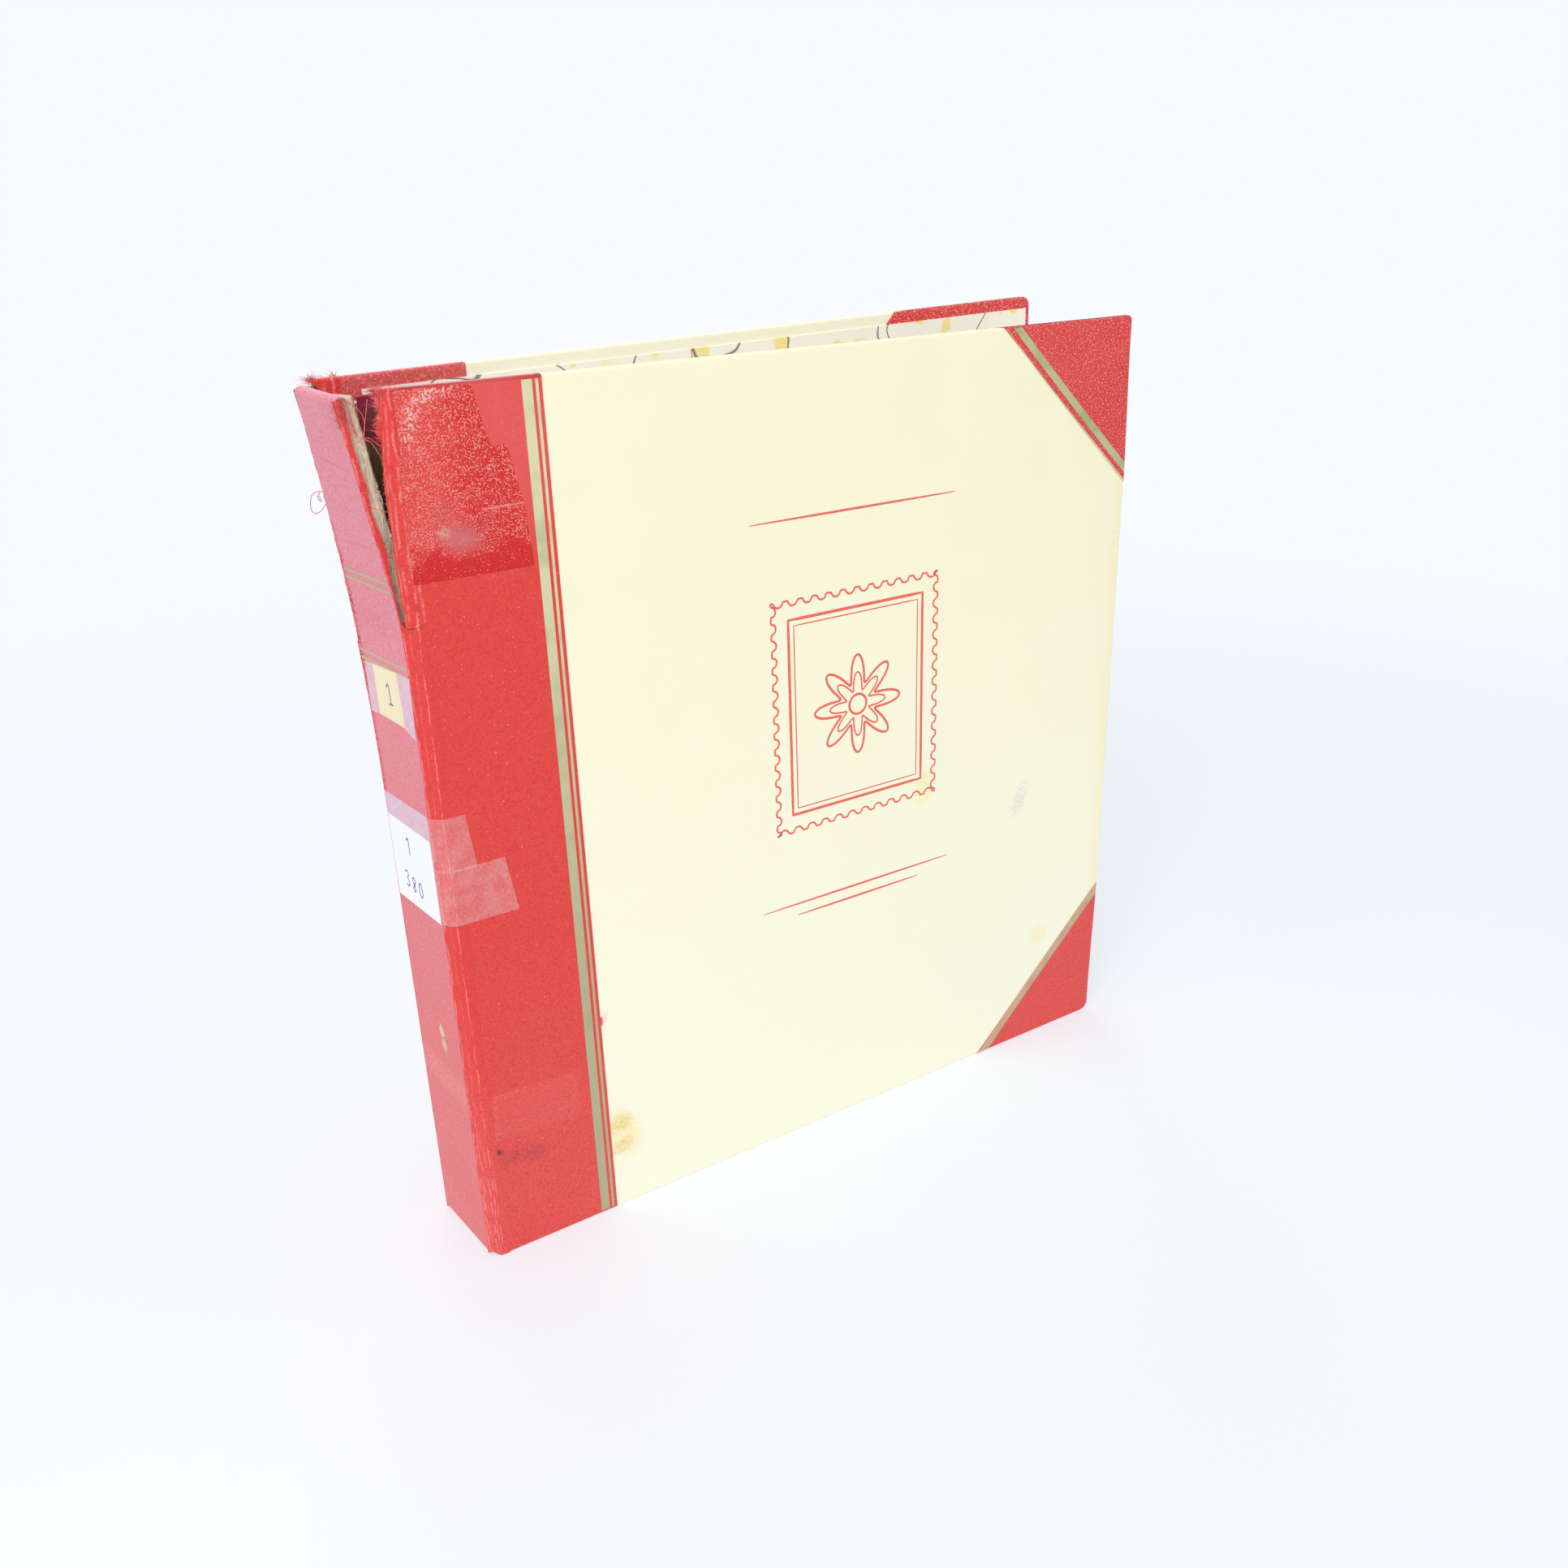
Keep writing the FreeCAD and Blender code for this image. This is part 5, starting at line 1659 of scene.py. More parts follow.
@dataclass
class SpineDress:
    """The spine: faded cloth with a rolled head, torn along both joints, over a frayed board.

    A gilt rule is given by its middle and its back end, a lozenge by its middle, foot, height and half
    width. The back clearance gives heights, and how far in the opened back cover reaches at each.
    """

    finishes: Finishes
    form: SpineForm
    roll: float = 1.9
    cloth_depth: float = 4.2
    board_face: float = 0.5
    board_back: float = 3.7
    turn_in: float = 11.0
    cloth_edge: float = 4.0
    torn_edge: float = 5.2
    board_edge: float = 6.1
    board_inset: float = 0.6
    board_layers: int = 12
    tear_foot: float = 3.0
    front_tear_run: float = 32.0
    back_tear_run: float = 8.0
    front_lip_start: float = 2.0
    back_lip_start: float = -16.0
    back_clearance: Rows = ((233.0, 260.0, 280.0, 300.0, 319.0), (4.7, 4.5, 4.1, 3.3, 2.4))
    gilt_lift: float = 0.06
    gilt_start: float = 4.9
    gilt_half: float = 0.55
    gilt_rules: Corners = ((261.6, 37.0), (258.8, 37.0), (233.4, 38.8), (230.6, 38.8))
    lozenges: Rows = ((18.2, 83.2, 7.6, 2.0), (18.8, 88.6, 7.4, 2.2))
    upper_label: Corners = ((30.6, 229.9), (13.3, 230.6), (12.5, 211.8), (31.5, 211.9))
    lower_label: Corners = ((39.1, 172.8), (5.7, 173.0), (5.4, 141.8), (39.0, 141.2))
    label_lift: float = 0.16
    pen_lift: float = 0.19
    pen_width: float = 0.6

    def tear_line(self, side: Side, along: Array) -> Array:
        """Where the cloth ends towards a joint: at the joint's strip, and further in along the tear."""
        run = self.front_tear_run if side is Side.FRONT else self.back_tear_run
        torn = smooth_step(along, side.tear - self.tear_foot, side.tear + run)
        uneven = ragged(along, 9.0, 0.28, 11 + side.number)
        return self.cloth_edge + torn * (self.torn_edge - self.cloth_edge + uneven)

    def cloth(self) -> None:
        """The faded cloth: its turned-in section carried across the spine between the two tears."""
        along, level = turned_strip(self.form.length, self.cloth_depth, self.roll, self.turn_in, 260, 9)
        share = np.linspace(0, 1, 34)[:, None]
        front = self.tear_line(Side.FRONT, along)
        back = SIZES.depth - self.tear_line(Side.BACK, along)
        across = front + (back - front) * share
        level = level + 0.03 * swell(across, along, 8.0, 7)
        points = self.form.points(across, along, level)
        patch = Patch(points, flat_grid(across, along)).facing((-1.0, 0.0, 0.0))
        make_piece("spine_cloth", [patch], SPINE, self.finishes.spine, "faded_leathercloth",
                   thickness=0.4, stands_for=("spine_leather",))

    def core(self) -> None:
        """The spine board: a closed section carried along the sheet, its torn edges split in layers."""
        along = np.linspace(self.board_inset, self.form.length - self.board_inset, 330)
        level = np.linspace(self.board_face, self.board_back, self.board_layers)
        loop_across, loop_level = [], []
        inner = np.linspace(0.04, 0.96, 14)
        for side in Side:
            torn = smooth_step(along, side.tear - 4, side.tear + 14)
            layers = np.stack([ragged(along, 5.0, 0.34, 30 + number) for number in range(level.size)])
            layers += np.linspace(0, 0.5, level.size)[:, None] ** 2
            edge = mirrored(side, self.board_edge + torn * layers)
            fan = level[:, None] + torn * np.linspace(0, 1.6, level.size)[:, None] ** 2
            fan = fan + torn * 0.18 * ragged(along, 7.0, 1.0, 60)
            order = slice(None, None, -1) if side is Side.FRONT else slice(None)
            loop_across.append(edge[order])
            loop_level.append(fan[order])
        front_edge, back_edge = loop_across[0][-1], loop_across[1][0]
        outer = front_edge + (back_edge - front_edge) * inner[:, None]
        rows_across = np.concatenate([loop_across[0], outer, loop_across[1], outer[::-1]])
        outer_level = np.full_like(outer, self.board_face)
        inner_level = np.full_like(outer, self.board_back)
        rows_level = np.concatenate([loop_level[0], outer_level, loop_level[1], inner_level])
        across, depth = rows_across.T, rows_level.T
        points = self.form.points(across, along[:, None], depth)
        middle = points.mean(1, keepdims=True)
        caps = [np.repeat(middle[row], points.shape[1], 0)[None] for row in (0, -1)]
        points = np.concatenate([caps[0], points, caps[1]])
        patch = Patch(points, points[..., 1:], closed=True)
        loop = points[len(points) // 2]
        area = np.cross(loop - loop.mean(0), np.roll(loop, -1, 0) - loop.mean(0))[:, 2].sum()
        if area > 0:
            patch = Patch(points[:, ::-1], points[:, ::-1, 1:], closed=True)
        make_piece("spine_core", [patch], SPINE, self.finishes.core, "greyboard",
                   stands_for=("spine_board",))

    def lip(self, side: Side) -> None:
        """The torn strip left on the spine: it curls from the cloth's edge round the board, and frays."""
        front = side is Side.FRONT
        seed = 21 + side.number
        start = side.tear + (self.front_lip_start if front else self.back_lip_start)
        along = np.linspace(start, self.form.length - 0.8, 190)
        line = self.tear_line(side, along)
        width = smooth_step(along, start, start + 24)
        end = 0.5 + width * (1.5 + ragged(along, 6.0, 0.5, seed))
        far = 0.1 + 0.4 * smooth_step(along, 262, 285)
        if not front:
            far = 0.5 + 0.8 * width + 0.6 * ragged(along, 4.0, 0.9, seed + 2)
            clear = line - np.interp(along, *self.back_clearance)
            far = np.clip(far, 0.2, np.maximum(clear, 0.3))
        across = np.stack([line + 0.02, line - 0.7 * far, line - far, line - 0.7 * far + 0.1 * width])
        level = np.stack([np.full_like(line, -0.01), 0.1 + 0 * line, end * 0.55, end])
        across, level = corner_cut(across), corner_cut(level)
        level = level + 0.06 * swell(along, across, 2.5, seed)
        points = self.form.points(mirrored(side, across), along, level)
        flat = flat_grid(np.linspace(0, 3, len(across))[:, None], along)
        patch = Patch(points, flat).facing((-1.0, side.sign, 0.0))
        make_piece(f"{side.value}_torn_lip", [patch], SPINE, self.finishes.lip[side], "red_leathercloth",
                   thickness=0.35)
        rim = points[-1]
        face = self.form.points(mirrored(side, line), along, -0.03)
        tufts = fibres(rim, (0.5, 0.5 * side.sign, 0.25), 260, 1.5, seed)
        tufts += fibres(rim[-14:], (0.0, 0.0, 0.7), 120, 1.4, seed + 4)
        if front:
            for corner in (face[-22:], rim[-18:]):
                tufts += fibres(corner, (-0.5, -0.6, 0.25), 260, 2.6, seed + 6, 0.09)
        tufts += fibres(face, (-0.35, 0.8 * side.sign, 0.1), 160, 0.9, seed + 8)
        make_piece(f"{side.value}_lip_fray", tufts, SPINE, self.finishes.fibre, "red_leathercloth")

    def rules(self) -> None:
        """The double gilt rules across the spine and the slim lozenges near its tail."""
        patches = []
        for middle, back_end in self.gilt_rules:
            across = np.linspace(self.gilt_start, back_end, 40)[:, None]
            along = middle + np.linspace(-self.gilt_half, self.gilt_half, 4)[None]
            patches.append(self.form.patch(across, along, self.gilt_lift))
        share = np.linspace(0, 1, 16)[:, None]
        for middle, foot, tall, wide in self.lozenges:
            band = middle + wide * np.sin(math.pi * share) ** 1.3 * np.linspace(-1, 1, 5)[None]
            patches.append(self.form.patch(band, foot + tall * share, self.gilt_lift))
        make_piece("spine_gilt", patches, SPINE, self.finishes.spine_gilt, "brass", thickness=0.02)

    def labels(self) -> None:
        """Finishes of the two paper labels, and the plain numbers written on them."""
        for name, corners, finish in (
            ("upper_label", self.upper_label, self.finishes.upper_label),
            ("lower_label", self.lower_label, self.finishes.lower_label),
        ):
            paper = self.form.sheet(corners, self.label_lift)
            make_piece(f"{name}_paper", [paper], SPINE, finish, "label_paper", thickness=0.1,
                       stands_for=(name,))
        patches = []
        for stroke in PEN_STROKES:
            band = ribbon(corner_cut(np.array(stroke.path)) * stroke.scale, self.pen_width)
            across, along = stroke.across - band[..., 0], stroke.along + band[..., 1]
            patches.append(self.form.patch(across, along, self.pen_lift))
        make_piece("label_numbers", patches, SPINE, self.finishes.pen, "label_paper", thickness=0.01)

    def dress(self) -> None:
        """Makes every piece of the spine."""
        self.core()
        self.cloth()
        for side in Side:
            self.lip(side)
        self.rules()
        self.labels()


# The joints


@dataclass
class JointDress:
    """One joint: the strip that bends between spine and cover, and the torn flap left on the cover."""

    side: Side
    finishes: Finishes
    form: SpineForm
    back_spread: float = 3.2
    ridges: Pair = (0.7, 5.6)
    ridge_half: float = 0.45
    ridge_lift: float = 0.1
    foot_rise: float = 1.4
    foot_middle: float = 2.6
    foot_half: float = 2.0

    def __post_init__(self) -> None:
        """Finds the cover, the foot of the tear and the seed of this joint."""
        self.cover, self.tear = self.side.cover, self.side.tear
        self.front = self.side is Side.FRONT
        self.seed = 41 + self.side.number

    def strip(self) -> None:
        """The bending strip: the bevelled section of the joint carried up to the tear."""
        line, head_line = (
            corner_cut(joint_line(self.side, height=height), 4) for height in (0.0, SIZES.height)
        )
        along = run_length(head_line)
        share = np.linspace(0, 1, 140)[None]
        middle = np.abs(along / along[-1] - 0.4)[:, None]
        top = self.tear + 7 * middle + ragged(along, 2.0, 0.8, self.seed)[:, None]
        foot = self.foot_rise * np.exp(-(((along - self.foot_middle) / self.foot_half) ** 2))[:, None]
        z = foot + share * (top - foot)
        out = np.array([-0.8, 0.6 * self.side.sign])
        ridge = sum(np.exp(-(((along - place) / self.ridge_half) ** 2)) for place in self.ridges)
        lift = self.ridge_lift * ridge[:, None] * (1 + ragged(z[0], 14.0, 0.6, self.seed + 1))[None]
        lift = lift + 0.05 * swell(along[:, None] * 3, z, 7.0, self.seed)
        rise = (z / SIZES.height)[..., None]
        plan = line[:, None] * (1 - rise) + head_line[:, None] * rise + out * lift[..., None]
        drawn = self.form.points(mirrored(self.side, 4.3), z, 0.0)[..., 0] - self.form.outer
        plan[..., 0] += drawn * (1 - smooth_step(along, 0.5, along[-1] * 0.7))[:, None]
        points = np.concatenate([plan, z[..., None]], -1)
        patch = Patch(points, flat_grid(along[:, None], z)).facing((-1.0, self.side.sign, 0.0))
        make_piece(f"{self.side.value}_joint_cloth", [patch], SPINE, self.finishes.joint,
                   "red_leathercloth", thickness=0.4, blended_with=self.cover.body,
                   stands_for=(f"{self.side.value}_joint",))

    def flap(self) -> None:
        """The torn flap on the cover: a creased section round the cover's edge, with a ragged end."""
        z = np.linspace(self.tear + 1, SIZES.height - 0.3, 150)
        grow = smooth_step(z, self.tear, self.tear + 12)
        end = 1.2 + grow * (1.5 + ragged(z, 7.0, 0.55, self.seed + 5))
        zero = 0 * z
        reach = 1.7 * smooth_step(z, SIZES.height, SIZES.height - 30)
        if not self.front:
            reach = reach + self.back_spread * smooth_step(z, SIZES.height - 40, SIZES.height)
        x = np.stack([SIZES.hinge_edge + 0.05 + zero, 1.8 + zero, -0.2 - 0.3 * reach, -1.1 - reach,
                      -1.3 - 0.2 * grow - reach, -1.0 - 0.4 * grow - reach])
        depth = np.stack([zero, zero - 0.02, zero + 0.05, 0.7 + zero, end * 0.6, end])
        x, depth = corner_cut(x), corner_cut(depth)
        across = np.linspace(0, 8, len(x))[:, None]
        crease = np.sin(across * 3.1 + 0.8 * np.sin(z / 9) + 0.5 * swell(across * 4, z, 9.0, 3))
        depth = depth - 0.1 * (crease + 0.6) * np.sin(math.pi * np.clip(across / 8, 0, 1))
        depth = depth - 0.06 * swell(across * 3, z, 4.0, self.seed)
        points = np.stack([x, mirrored(self.side, depth), np.broadcast_to(z, x.shape)], -1)
        patch = Patch(points, flat_grid(across, z)).facing((-1.0, self.side.sign, 0.0))
        turned, ragged_end = self.turned_head()
        make_piece(f"{self.side.value}_torn_flap", [patch, turned], self.cover, self.finishes.torn,
                   "red_leathercloth", thickness=0.3, blended_with=self.cover.body)
        tufts = fibres(points[-1], (-0.5, -0.5 * self.side.sign, 0.1), 240, 1.4, self.seed + 7)
        tufts += fibres(points[:, -1], (-0.3, 0.0, 0.7), 150, 2.0, self.seed + 8, 0.13)
        tufts += fibres(ragged_end, (-0.8, 0.0, 0.15), 260, 2.4, self.seed + 9, 0.14)
        make_piece(f"{self.side.value}_flap_fray", tufts, self.cover, self.finishes.fibre,
                   "red_leathercloth", blended_with=self.cover.body)

    def turned_head(self) -> tuple[Patch, Array]:
        """The cloth folded over the head beside the cover: the turned-in section with a torn end.

        Returns:
            The folded cloth and the points of its torn end.
        """
        inset, depth = edge_section(0.05, SIZES.thickness - 0.1, SIZES.edge_round, SIZES.turn_in)
        z = SIZES.height - inset
        run = run_length(np.stack([inset, depth], -1))
        torn = -1.4 - 1.1 * smooth_step(run, 1.0, 5.0) + ragged(run, 2.5, 0.7, self.seed + 11)
        torn = torn - (0.0 if self.front else self.back_spread)
        x = SIZES.hinge_edge + 0.1 + (torn - SIZES.hinge_edge - 0.1) * np.linspace(0, 1, 12)[:, None]
        x, depth, z = np.broadcast_arrays(x, depth, z)
        points = np.stack([x, mirrored(self.side, depth), z], -1)
        flat = np.stack([2.0 + 0.5 * x, z], -1)
        return Patch(points, flat).facing((0.0, 0.0, 1.0)), points[-1]

    def dress(self) -> None:
        """Makes the strip and the flap."""
        self.strip()
        self.flap()


@dataclass
class TapeDress:
    """Clear tape: over the labels, round the front joint, and three glossy strips at the head.

    A joint strip is given by its name, its lower and upper edge, where it ends on the cover and its
    lift. A head strip is given by its lower and upper edge, its start, and its end at either edge.
    """

    finishes: Finishes
    form: SpineForm
    start: float = 5.4
    label_lift: float = 0.1
    head_lift: float = 0.1
    films: tuple[Corners, ...] = (
        ((36.7, 229.6), (30.6, 230.0), (31.6, 211.7), (38.7, 211.1)),
        ((13.2, 230.6), (3.9, 230.8), (5.2, 209.2), (12.4, 211.4)),
        ((40.3, 181.4), (5.3, 182.3), (5.7, 172.9), (39.6, 172.7)),
    )
    joint_strips: tuple[tuple[str, float, float, Pair, float], ...] = (
        ("joint_tape_upper", 162.5, 182.3, (9.7, 7.6), 0.35),
        ("joint_tape_lower", 142.4, 163.3, (22.6, 19.6), 0.45),
    )
    head_places: Rows = (
        (261.2, 281.6, 1.0, 41.0, 39.5),
        (281.4, 300.2, 1.3, 39.4, 35.6),
        (300.0, 319.3, 2.0, 30.5, 26.0),
    )

    def joint_tape(
        self, name: str, low: float, high: float, reach: Pair, lift: float
    ) -> None:
        """A strip of tape from the lower label's edge round the joint and onto the front cover.

        Args:
            name: name of the piece.
            low: lower edge.
            high: upper edge.
            reach: where it ends on the cover, at its lower and its upper edge.
            lift: how far it stands out from the leather.
        """
        share = np.linspace(0, 1, 24)[None, :, None]
        lines = [corner_cut(joint_line(Side.FRONT, lift, self.start, far), 5)[:, None] for far in reach]
        plan = lines[0] * (1 - share) + lines[1] * share
        z = np.broadcast_to(low + (high - low) * share[..., 0], plan.shape[:2])
        points = np.concatenate([plan, z[..., None]], -1)
        patch = Patch(points, flat_grid(run_length(plan[:, 0])[:, None], z)).facing((-1.0, -1.0, 0.0))
        make_piece(name, [patch], SPINE, self.finishes.tape, "label_paper", blended_with="front_cover")

    def label_tape(self) -> None:
        """The tape that shows beside the upper label and above the lower one."""
        patches = [self.form.sheet(film, self.label_lift) for film in self.films]
        make_piece("label_tape", patches, SPINE, self.finishes.spine_tape, "label_paper")

    def head_strips(self) -> None:
        """Three strips of glossy tape at the head of the front cover, with slanting ends."""
        patches = []
        for number, (low, high, near, far_low, far_high) in enumerate(self.head_places):
            up = np.linspace(0, 1, 40)[None]
            z = low + (high - low) * up
            far = far_low + (far_high - far_low) * up
            x = near + (far - near) * np.linspace(0, 1, 50)[:, None]
            lift = self.head_lift + 0.012 * number + 0.05 * swell(x, z + 0 * x, 4.0, 90 + number)
            points = np.stack([x, -lift, z + 0 * x], -1)
            patches.append(Patch(points, points[..., ::2]).facing((0.0, -1.0, 0.0)))
        make_piece("head_tape", patches, Side.FRONT.cover, self.finishes.filmed, "red_leathercloth",
                   thickness=0.04)

    def dress(self) -> None:
        """Makes every strip of tape."""
        self.label_tape()
        for strip in self.joint_strips:
            self.joint_tape(*strip)
        self.head_strips()


@dataclass
class CoverPrint:
    """A generic print on the front side: a perforated stamp frame with a rosette, and three rules.

    A box is given by its half sizes and its line's width, a rosette by its size, petals and line's
    width, a rule by its height and half length.
    """

    finishes: Finishes
    middle: float = 168.0
    height: float = 186.0
    lift: float = 0.03
    edge_half: Pair = (38.4, 46.4)
    edge_pitch: float = 6.4
    edge_bite: float = 2.0
    edge_width: float = 0.8
    boxes: tuple[tuple[Pair, float], ...] = (((31.0, 39.0), 1.2), ((28.6, 36.6), 0.5))
    rosettes: tuple[tuple[float, int, float], ...] = ((20.0, 8, 1.0), (13.0, 8, 0.7), (4.0, 0, 1.0))
    rules: Corners = ((262.0, 46.0), (108.0, 46.0), (103.0, 30.0))
    rule_width: float = 0.9

    def patch(self, band: Array) -> Patch:
        """A flat band on the side paper from its points in the cover's plane."""
        depth = np.full(band.shape[:-1], SIZES.paper_drop - self.lift)
        points = np.stack([band[..., 0], depth, band[..., 1]], -1)
        return Patch(points, band).facing((0.0, -1.0, 0.0))

    def perforated(self) -> Array:
        """A box round the middle whose sides have round bites at an even pitch, as an outline."""
        half, pitch, bite = self.edge_half, self.edge_pitch, self.edge_bite
        sides = []
        for turn, (length, out) in enumerate((half, half[::-1]) * 2):
            along = np.linspace(-length, length, int(length * 2 / pitch) * 14, endpoint=False)
            local = (along + length) % pitch - pitch / 2
            dent = np.sqrt(np.maximum(bite**2 - local**2, 0))
            angle = turn * math.pi / 2
            run = np.stack([along, -(out - dent)], -1)
            spin = np.array([[math.cos(angle), math.sin(angle)], [-math.sin(angle), math.cos(angle)]])
            sides.append(run @ spin)
        return np.concatenate(sides)

    def loop(self, line: Array, width: float) -> Patch:
        """A closed line of ink round the print's middle."""
        return self.patch(ribbon(line + (self.middle, self.height), width, closed=True))

    def dress(self) -> None:
        """Makes the print as thin bands of ink on the paper."""
        patches = [self.loop(self.perforated(), self.edge_width)]
        for half, width in self.boxes:
            corners = np.array([(-1, -1), (1, -1), (1, 1), (-1, 1), (-1, -1)]) * half
            line = np.concatenate([straight(*ends, 12) for ends in zip(corners, corners[1:])])
            patches.append(self.loop(line, width))
        angle = np.linspace(0, math.tau, 240, endpoint=False)
        for size, petals, width in self.rosettes:
            reach = size * (0.72 + 0.28 * np.cos(petals * angle))
            patches.append(self.loop(np.stack([np.sin(angle), np.cos(angle)], -1) * reach[:, None], width))
        for up, half in self.rules:
            line = np.linspace((self.middle - half, up), (self.middle + half, up), 40)
            taper = self.rule_width * np.sin(np.linspace(0.12, math.pi - 0.12, 40)) ** 0.5
            patches.append(self.patch(ribbon(line, taper)))
        make_piece("cover_print", patches, Side.FRONT.cover, self.finishes.print, "cream_paper")


KNOT = (4.8, 305.8, 5.5)
THREAD_PATHS: tuple[tuple[Triple, ...], ...] = (
    ((5.8, 318.0, 3.4), (5.2, 315.0, 6.4), (5.0, 311.0, 7.8), (4.8, 305.6, 5.4)),
    ((6.6, 316.0, 10.6), (5.4, 311.0, 8.0), KNOT, (5.2, 305.0, 3.0), (5.6, 305.4, 1.2)),
    (KNOT, (4.0, 304.6, 7.2), (4.2, 301.2, 8.4), (3.6, 297.0, 9.4), (3.2, 293.0, 10.0)),
    (KNOT, (4.2, 306.0, 7.0), (4.0, 303.4, 8.8), (3.4, 302.0, 10.4)),
    ((5.6, 289.0, 0.4), (4.8, 286.0, 1.8), (4.2, 284.6, 4.0), (4.0, 283.0, 6.4)),
    ((5.6, 312.6, 2.4), (5.0, 310.4, 4.0), (5.2, 308.0, 3.2), KNOT),
    ((37.0, 283.4, 1.0), (39.0, 282.4, 0.2), (45.0, 278.4, -0.4), (53.0, 277.0, -0.6),
     (50.6, 282.8, -0.5), (44.4, 285.6, -0.3), (38.6, 286.2, 0.2), (36.6, 286.0, 1.0)),
    ((41.0, 285.9, -0.1), (44.8, 283.4, -0.3), (41.2, 282.2, -0.2), (42.6, 284.4, -0.2)),
)


@dataclass
class Threads:
    """Loose threads of the torn cloth: thin tubes along soft lines.

    Their paths give places across and along the spine's sheet, and the depth under its outer face.
    """

    finishes: Finishes
    form: SpineForm
    radius: float = 0.13

    def dress(self) -> None:
        """Makes the threads that hang in the tear and the loop behind the spine."""
        paths = [self.form.points(*np.array(path).T) for path in THREAD_PATHS]
        patches = [tube(corner_cut(path, 4), self.radius) for path in paths]
        make_piece("loose_threads", patches, SPINE, self.finishes.thread, "red_leathercloth")


@dataclass
class BlockDress:
    """The leaf block: its solids keep their shapes and get their finishes."""

    finishes: Finishes
    leaves: int = 10

    def dress(self) -> None:
        """Gives every solid of the block its finish."""
        for node in ("spine_lining", "front_flange", "back_flange"):
            wear(node, self.finishes.block_cloth)
        wear("guards", self.finishes.guard)
        for node in ("posts", "tail_screw", "middle_screw", "head_screw"):
            wear(node, self.finishes.brass)
        for number in range(1, self.leaves + 1):
            wear(f"leaf_{number:02d}", self.finishes.leaf)


# The studio


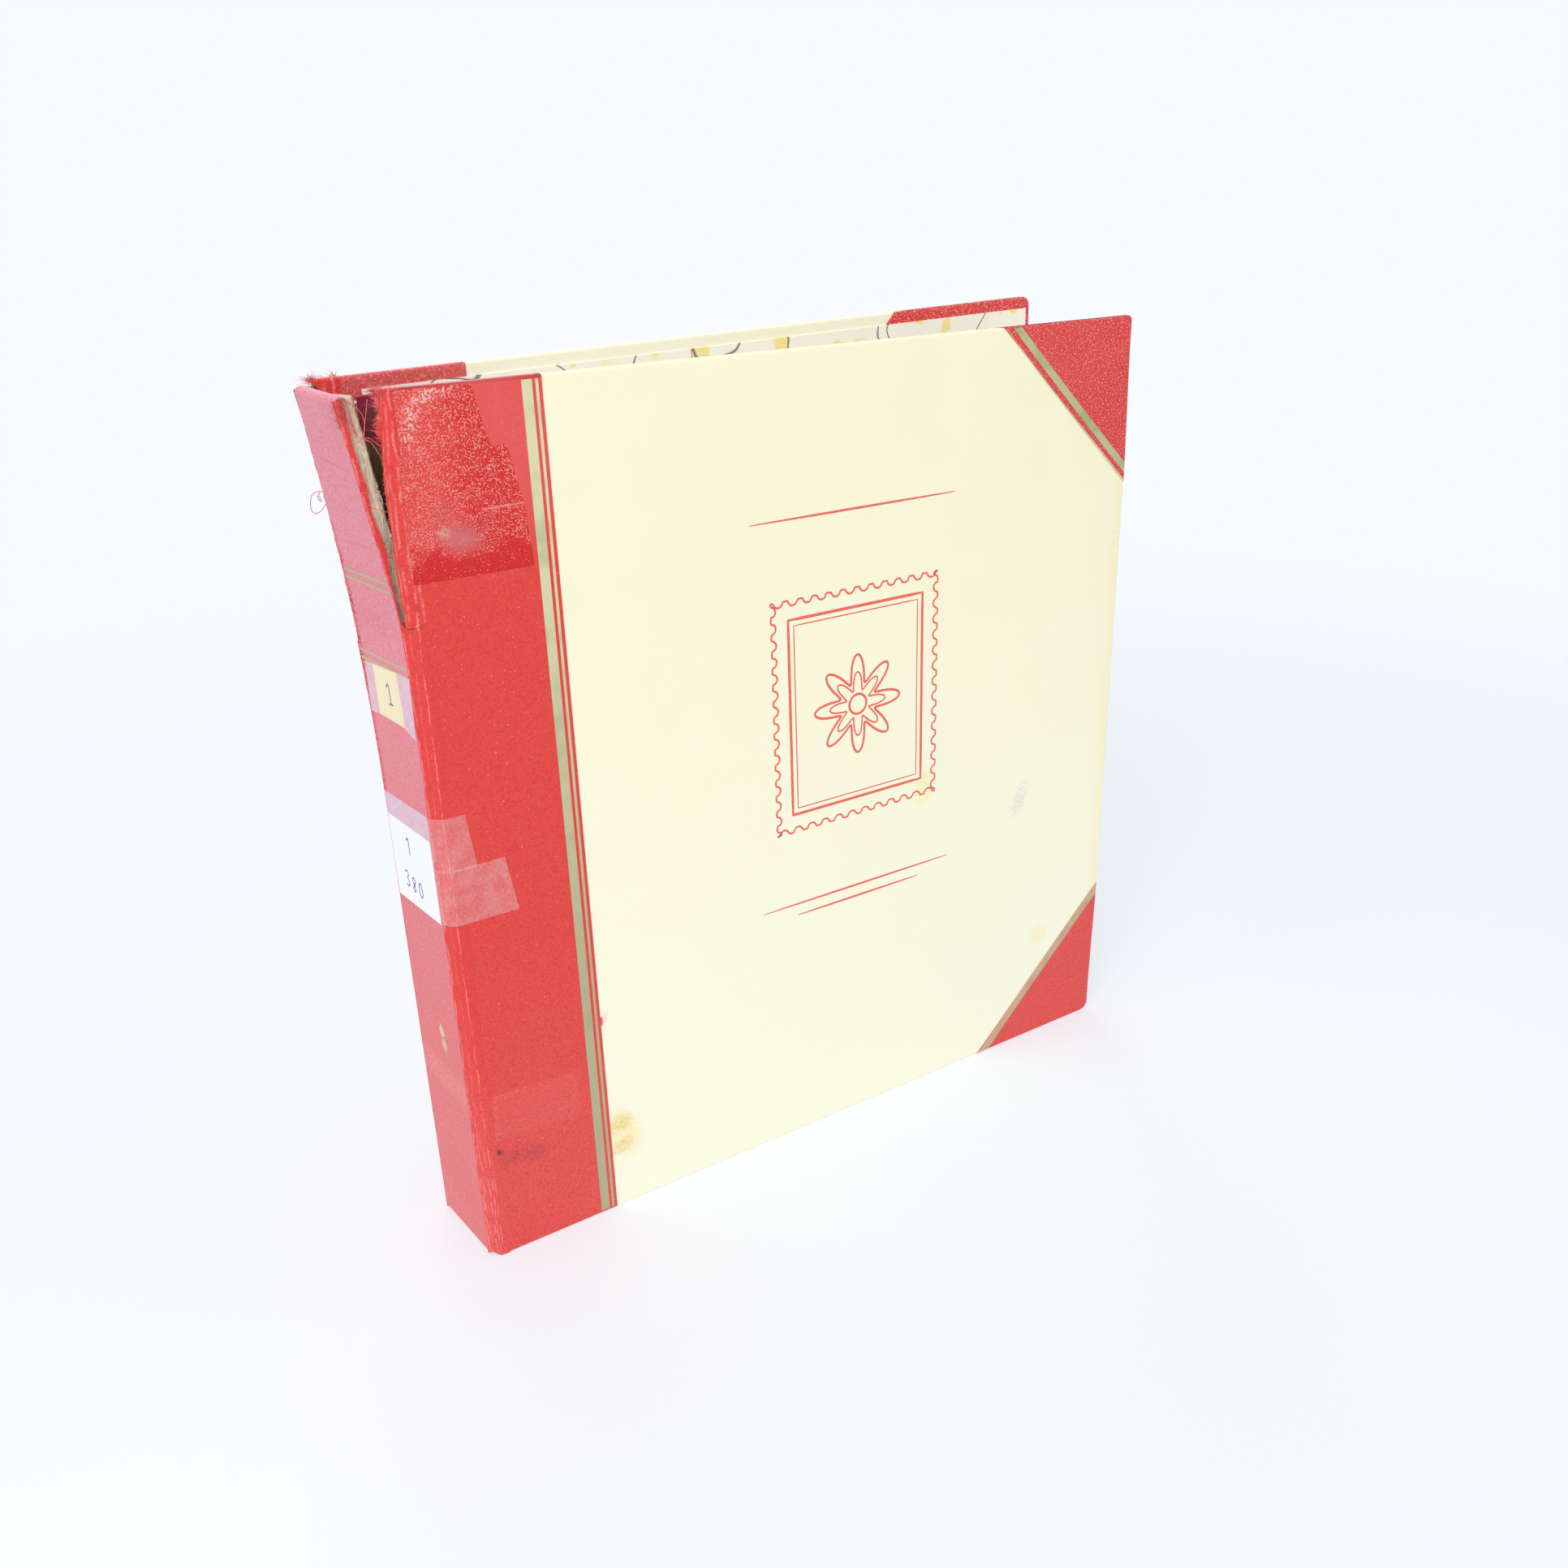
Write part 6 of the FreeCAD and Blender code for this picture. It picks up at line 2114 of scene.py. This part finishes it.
@dataclass
class Studio:
    """The floor, the light and the camera; a lamp is given by its name, place, size and power."""

    camera_at: Triple = (-129.63, -417.93, 372.31)
    azimuth: float = 32.154
    elevation: float = 23.153
    roll: float = -1.695
    lens: float = 32.325
    floor_tone: RGB = (189, 187, 180)
    floor_grain: RGB = (187, 186, 180)
    floor_glow: RGB = (174, 180, 192)
    floor_rings: tuple[float, ...] = (0.0, 0.3, 0.6, 1.0, 1.6, 2.4)
    floor_fade: Pair = (1.1, 0.42)
    world_tone: RGB = (248, 251, 255)
    light_tone: tuple[float, ...] = (0.96, 0.98, 1.0, 1.0)
    light_strength: float = 0.545
    aim: Triple = (0.0, 0.0, 0.16)
    lamps: tuple[tuple[str, Triple, float, float], ...] = (
        ("key", (-0.99, -0.93, 1.36), 1.1, 18.8),
        ("fill", (1.0, -0.7, 0.8), 1.0, 1.5),
        ("back", (0.3, 1.2, 1.0), 1.0, 5.4),
    )

    def floor(self) -> None:
        """A pale disc that fades out towards its rim: rings of points round the origin."""
        ring = np.array(self.floor_rings)[:, None]
        angle = np.linspace(0, math.tau, 64, endpoint=False)
        points = np.stack([ring * np.cos(angle), ring * np.sin(angle), 0 * ring * angle], -1)
        patch = Patch(points, points[..., :2], closed=True).facing((0.0, 0.0, 1.0))
        mesh = bpy.data.meshes.new("floor")
        mesh.from_pydata(points.reshape(-1, 3).tolist(), [], patch.corners().tolist())
        weld(mesh)
        sheet = NodeSheet("floor_paper")
        where = sheet.add("TexCoord").outputs["Object"]
        distance = sheet.add("VectorMath", {0: where}, operation="LENGTH").outputs["Value"]
        grain = sheet.noise(where, 0.4, 2.0)
        tone = sheet.mix(sheet.step(grain, 0.3, 0.7), self.floor_tone, self.floor_grain)
        ramp = sheet.step(distance, *self.floor_fade)
        glow = {"Emission_Color": linear(self.floor_glow), "Emission_Strength": 1.0}
        mesh.materials.append(
            sheet.done(Base_Color=tone, Roughness=0.9, Alpha=ramp, Specular_IOR_Level=0.0, **glow)
        )
        floor = put("floor", mesh)

    def world(self) -> None:
        """Even light from all round, and a white background for what the camera and gloss see."""
        sheet = NodeSheet("studio", world=True)
        bpy.context.scene.world = sheet.owner
        light = sheet.add("Background", {"Color": self.light_tone, "Strength": self.light_strength})
        seen = sheet.add("Background", {"Color": linear(self.world_tone)})
        rays = sheet.add("LightPath").outputs
        share = sheet.math("MAXIMUM", rays["Is Camera Ray"], rays["Is Glossy Ray"])
        share = sheet.math("MAXIMUM", share, rays["Is Transmission Ray"])
        mix = sheet.add("MixShader", {0: share, 1: light.outputs[0], 2: seen.outputs[0]})
        sheet.add("OutputWorld", {"Surface": mix.outputs[0]})

    def lamp(self, name: str, at: Triple, size: float, power: float) -> None:
        """A square soft lamp that faces the album's middle.

        Args:
            name: name of the lamp.
            at: its place in metres.
            size: side of the square in metres.
            power: power in watts.
        """
        data = bpy.data.lights.new(name, "AREA")
        data.size = size
        data.energy = power
        forward = np.array(self.aim) - np.array(at)
        put(name, data).matrix_world = facing_matrix(np.array(at), forward, np.array((0.0, 0.0, 1.0)))

    def camera(self) -> None:
        """The camera at the photograph's angle, placed on the front cover's bench."""
        turn, tilt, roll = (math.radians(a) for a in (self.azimuth, self.elevation, self.roll))
        forward = np.array(
            [math.sin(turn) * math.cos(tilt), math.cos(turn) * math.cos(tilt), -math.sin(tilt)]
        )
        right = np.cross(forward, (0, 0, 1))
        right /= np.linalg.norm(right)
        up = np.cross(right, forward)
        up = math.cos(roll) * up - math.sin(roll) * right
        here = np.array(self.camera_at)
        at, ahead, above = Side.FRONT.cover.place(np.stack([here, here + forward, here + up]))
        data = bpy.data.cameras.new("camera")
        data.sensor_width = 36.0
        data.lens = self.lens
        data.clip_start, data.clip_end = 0.01, 50.0
        camera = put("camera", data)
        camera.matrix_world = facing_matrix(at, ahead - at, above - at)
        bpy.context.scene.camera = camera

    def dress(self) -> None:
        """Makes the studio."""
        self.floor()
        self.world()
        for lamp in self.lamps:
            self.lamp(*lamp)
        self.camera()
        bpy.context.scene.view_settings.view_transform = "Standard"


def facing_matrix(at: Array, forward: Array, up: Array) -> Matrix:
    """The placement of a lamp or camera that looks along a direction.

    Args:
        at: its place.
        forward: the direction it looks in.
        up: the direction that is up in its picture, roughly.

    Returns:
        The placement.
    """
    back = -forward / np.linalg.norm(forward)
    right = np.cross(up, back)
    right /= np.linalg.norm(right)
    above = np.cross(back, right)
    columns = np.stack([right, above, back, at], -1)
    return Matrix(np.vstack([columns, (0, 0, 0, 1)]).tolist())


def main() -> None:
    """Builds the sub-assemblies in order."""
    logging.basicConfig(level=logging.INFO, format="%(name)s %(message)s")
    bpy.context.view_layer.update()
    finishes = Finishes()
    form = SpineForm()
    for side in Side:
        CoverDress(side, finishes).dress()
    SpineDress(finishes, form).dress()
    for side in Side:
        JointDress(side, finishes, form).dress()
    TapeDress(finishes, form).dress()
    CoverPrint(finishes).dress()
    Threads(finishes, form).dress()
    BlockDress(finishes).dress()
    Studio().dress()


if __name__ == "__main__":
    main()
